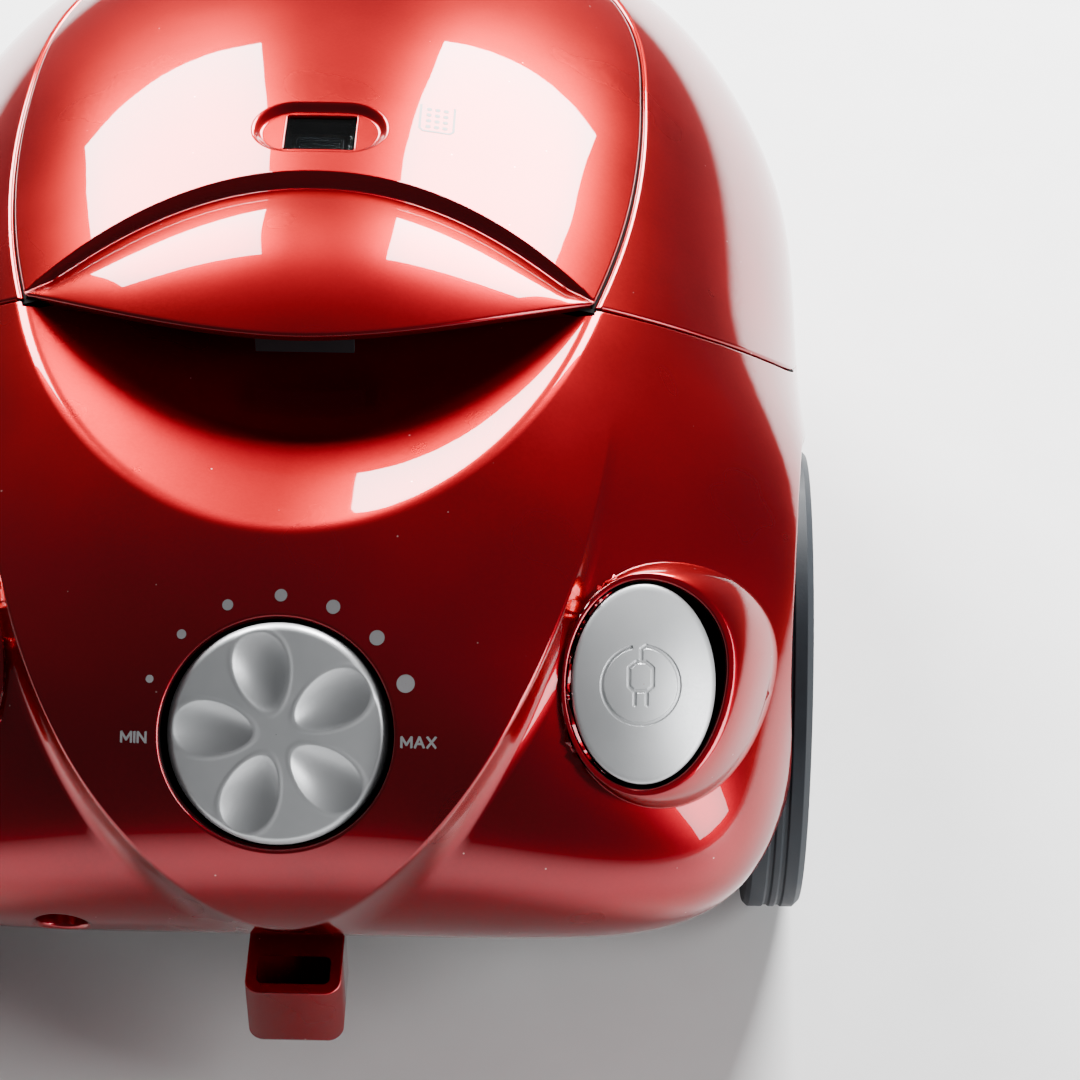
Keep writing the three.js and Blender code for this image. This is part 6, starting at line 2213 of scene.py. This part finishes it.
@dataclass
class DustBag:
    """Fleece dust bag, slack and crowned, in the space the chamber leaves it."""

    centre: tuple[float, float, float] = (0.0, 46.0, 108.0)
    half: tuple[float, float, float] = (62.0, 52.0, 40.0)
    seam: float = 3.0
    rows: int = 90
    count: int = 180

    def surface(self, turn: Array, rise: Array) -> Array:
        """Points of the bag at angles round it and shares of the height from -1 to 1."""
        level = np.sign(rise) * np.abs(rise) ** 0.9
        plump = np.sqrt(np.maximum(1.0 - np.abs(level) ** 2.6, 0.0))
        square = (np.abs(np.cos(turn)) ** 3.2 + np.abs(np.sin(turn)) ** 3.2) ** (-1.0 / 3.2)
        fine_folds = np.sin(17 * turn - 3.0 * level) * (1 - plump * 0.4)
        wrinkle = 0.8 * np.sin(9 * turn + 2.2 * level) + 0.6 * fine_folds
        # The two halves are sewn together round the middle.
        welt = self.seam * np.exp(-((level / 0.035) ** 2)) - 1.6 * np.exp(-((level / 0.16) ** 2))
        out = plump * square
        half_x, half_y, half_z = self.half
        grow = (wrinkle + welt) * plump
        x = (half_x - 5.0) * out * np.cos(turn) + grow * np.cos(turn)
        y = (half_y - 5.0) * out * np.sin(turn) + grow * np.sin(turn)
        z = (half_z - 3.0) * level + 1.1 * np.sin(5 * turn) * plump * level
        return np.stack([x, y, z], -1) + np.array(self.centre)

    def build(self, finish: Material) -> bpy.types.Object:
        """Builds the bag."""
        turn = np.linspace(0.0, 2 * math.pi, self.count, endpoint=False)
        rises = np.sin(np.linspace(-math.pi / 2, math.pi / 2, self.rows))
        rows, ways = [], []
        for rise in rises:
            here = self.surface(turn, np.full_like(turn, rise))
            along = self.surface(turn + 0.01, np.full_like(turn, rise)) - here
            low, high = max(rise - 0.01, -1.0), min(rise + 0.01, 1.0)
            climb = self.surface(turn, np.full_like(turn, high)) - self.surface(turn, np.full_like(turn, low))
            normal = np.cross(along, climb) + (here - np.array(self.centre)) * 1e-6
            rows.append(here)
            ways.append(unit(normal))
        made = strip(rows, ways, True).mesh("fleece_dust_bag", finish)
        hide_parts("dust_bag")
        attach(made, "root")
        return made


@dataclass
class NodeDresser:
    """Gives the CAD nodes that stay in view their finish and slightly rounded edges."""

    edge_mm: float = 0.45
    sharp_from: float = math.radians(32.0)
    thin: tuple[str, ...] = ("power_button_spring", "rewind_button_spring", "armature", "motor_filter",
                             "exhaust_filter", "indicator_window")

    def dress(self, node: bpy.types.Object, finish: Material) -> None:
        """Finishes one node.

        Args:
            node: the CAD node's object.
            finish: its material.
        """
        if node.data.materials:
            node.data.materials[0] = finish
        else:
            node.data.materials.append(finish)
        node.data.polygons.foreach_set("use_smooth", [True] * len(node.data.polygons))
        rounded = node.modifiers.new("rounded edges", "BEVEL")
        rounded.width = self.edge_mm * MM * (0.25 if node.name in self.thin else 1.0)
        rounded.segments = 2
        rounded.limit_method = "ANGLE"
        rounded.angle_limit = self.sharp_from
        rounded.harden_normals = True

    def dress_all(self, frame: dict, finishes: Finishes) -> int:
        """Finishes every node by its slot in the record.

        Args:
            finishes: the made materials.

        Returns:
            How many nodes were dressed.
        """
        for part in frame["record"]["subparts"]:
            self.dress(frame["nodes"][part["node"]], finishes[Finish(part["material_slot"])])
        return len(frame["record"]["subparts"])


@dataclass
class SoftBox:
    """One studio light: a white panel that shows in the gloss."""

    name: str
    place: tuple[float, float, float]
    aim: tuple[float, float, float]
    size: tuple[float, float]
    power: float
    roll: float = 0.0

    def build(self) -> bpy.types.Object:
        """Hangs the light."""
        data = bpy.data.lights.new(self.name, "AREA")
        data.shape = "RECTANGLE"
        data.size, data.size_y = self.size[0] * MM, self.size[1] * MM
        data.energy = self.power
        made = bpy.data.objects.new(self.name, data)
        bpy.context.scene.collection.objects.link(made)
        made.location = Vector(self.place) * MM
        way = (Vector(self.aim) - Vector(self.place)).to_track_quat("-Z", "Y")
        made.rotation_mode = "QUATERNION"
        made.rotation_quaternion = way @ Matrix.Rotation(self.roll, 3, "Z").to_quaternion()
        return made


@dataclass
class Studio:
    """Camera, white table, dim room and soft boxes."""

    eye: tuple[float, float, float] = (85.56, -802.48, 810.15)
    target: tuple[float, float, float] = (68.61, -155.3, 184.96)
    lens: float = 112.98
    table: float = 2600.0
    room: float = 0.10
    boxes: tuple[SoftBox, ...] = (
        SoftBox("main_box_right", (450.0, 1093.0, 972.0), (434.0, 80.0, 170.0), (600.0, 710.0), 80.0),
        SoftBox("main_box_left", (-580.0, 1093.0, 972.0), (-560.0, 80.0, 170.0), (640.0, 710.0), 66.0),
        SoftBox("right_panel", (1150.0, -520.0, 560.0), (100.0, -90.0, 110.0), (420.0, 900.0), 15.0),
    )

    def camera(self) -> bpy.types.Object:
        """Makes the long-lens camera behind and above, and sets it as the scene's own."""
        data = bpy.data.cameras.new("camera")
        data.lens = self.lens
        data.sensor_width = 36.0
        made = bpy.data.objects.new("camera", data)
        bpy.context.scene.collection.objects.link(made)
        made.location = Vector(self.eye) * MM
        made.rotation_mode = "QUATERNION"
        made.rotation_quaternion = (Vector(self.target) - Vector(self.eye)).to_track_quat("-Z", "Y")
        bpy.context.scene.camera = made
        return made

    def floor(self) -> bpy.types.Object:
        """Lays the pale matt table top."""
        data = bpy.data.meshes.new("floor")
        far = self.table * MM
        data.from_pydata([(-far, -far, 0), (far, -far, 0), (far, far, 0), (-far, far, 0)], [], [(0, 1, 2, 3)])
        made = bpy.data.objects.new("floor", data)
        bpy.context.scene.collection.objects.link(made)
        # Matt laminate: pale and even, so that only the soft shadow shows.
        laminate = MouldedPlastic("white_laminate_table", "#F2F2F2", "#EEEEEE", 0.6, 2.0, 0.002)
        data.materials.append(laminate.material())
        return made

    def build(self) -> None:
        """Sets up the studio."""
        self.camera()
        self.floor()
        world = bpy.data.worlds.new("studio_room")
        world.use_nodes = True
        world.node_tree.nodes["Background"].inputs["Color"].default_value = linear("#F4F5F8")
        world.node_tree.nodes["Background"].inputs["Strength"].default_value = self.room
        bpy.context.scene.world = world
        for box in self.boxes:
            box.build()


def main() -> None:
    """Builds the vacuum cleaner on its frame, and the studio round it."""
    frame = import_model()
    studio = Studio()
    studio.build()
    LOG.info("studio: %d lights", len(studio.boxes))
    finishes = Finishes()
    LOG.info("nodes dressed: %d", NodeDresser().dress_all(frame, finishes))
    red = finishes[Finish.RED]
    made = [LowerHousing().build(red, finishes.painted_shade), UpperHousing().build(red), BagLid().build(red),
            LidInside().build(red)]
    made.append(IndicatorFlag().build(finishes[Finish.SLATE]))
    made.append(PowerDial().build(finishes[Finish.SILVER]))
    made += [PushButton(kind).build(finishes[Finish.SILVER]) for kind in ButtonKind]
    made += [DialScale().build(finishes.print), LidPrint().build(finishes.white_print)]
    made.append(SeamShadeStrips().build(finishes.painted_shade))
    for side in (-1, 1):
        made += RearWheel(side).build(finishes)
    made.append(HoseInlet().build(finishes))
    made.append(ParkingBracket().build(red, finishes.painted_shade))
    made.append(DustBag().build(finishes[Finish.FLEECE]))
    for piece in made:
        LOG.info("%s: %d faces", piece.name, len(piece.data.polygons))


if __name__ == "__main__":
    main()
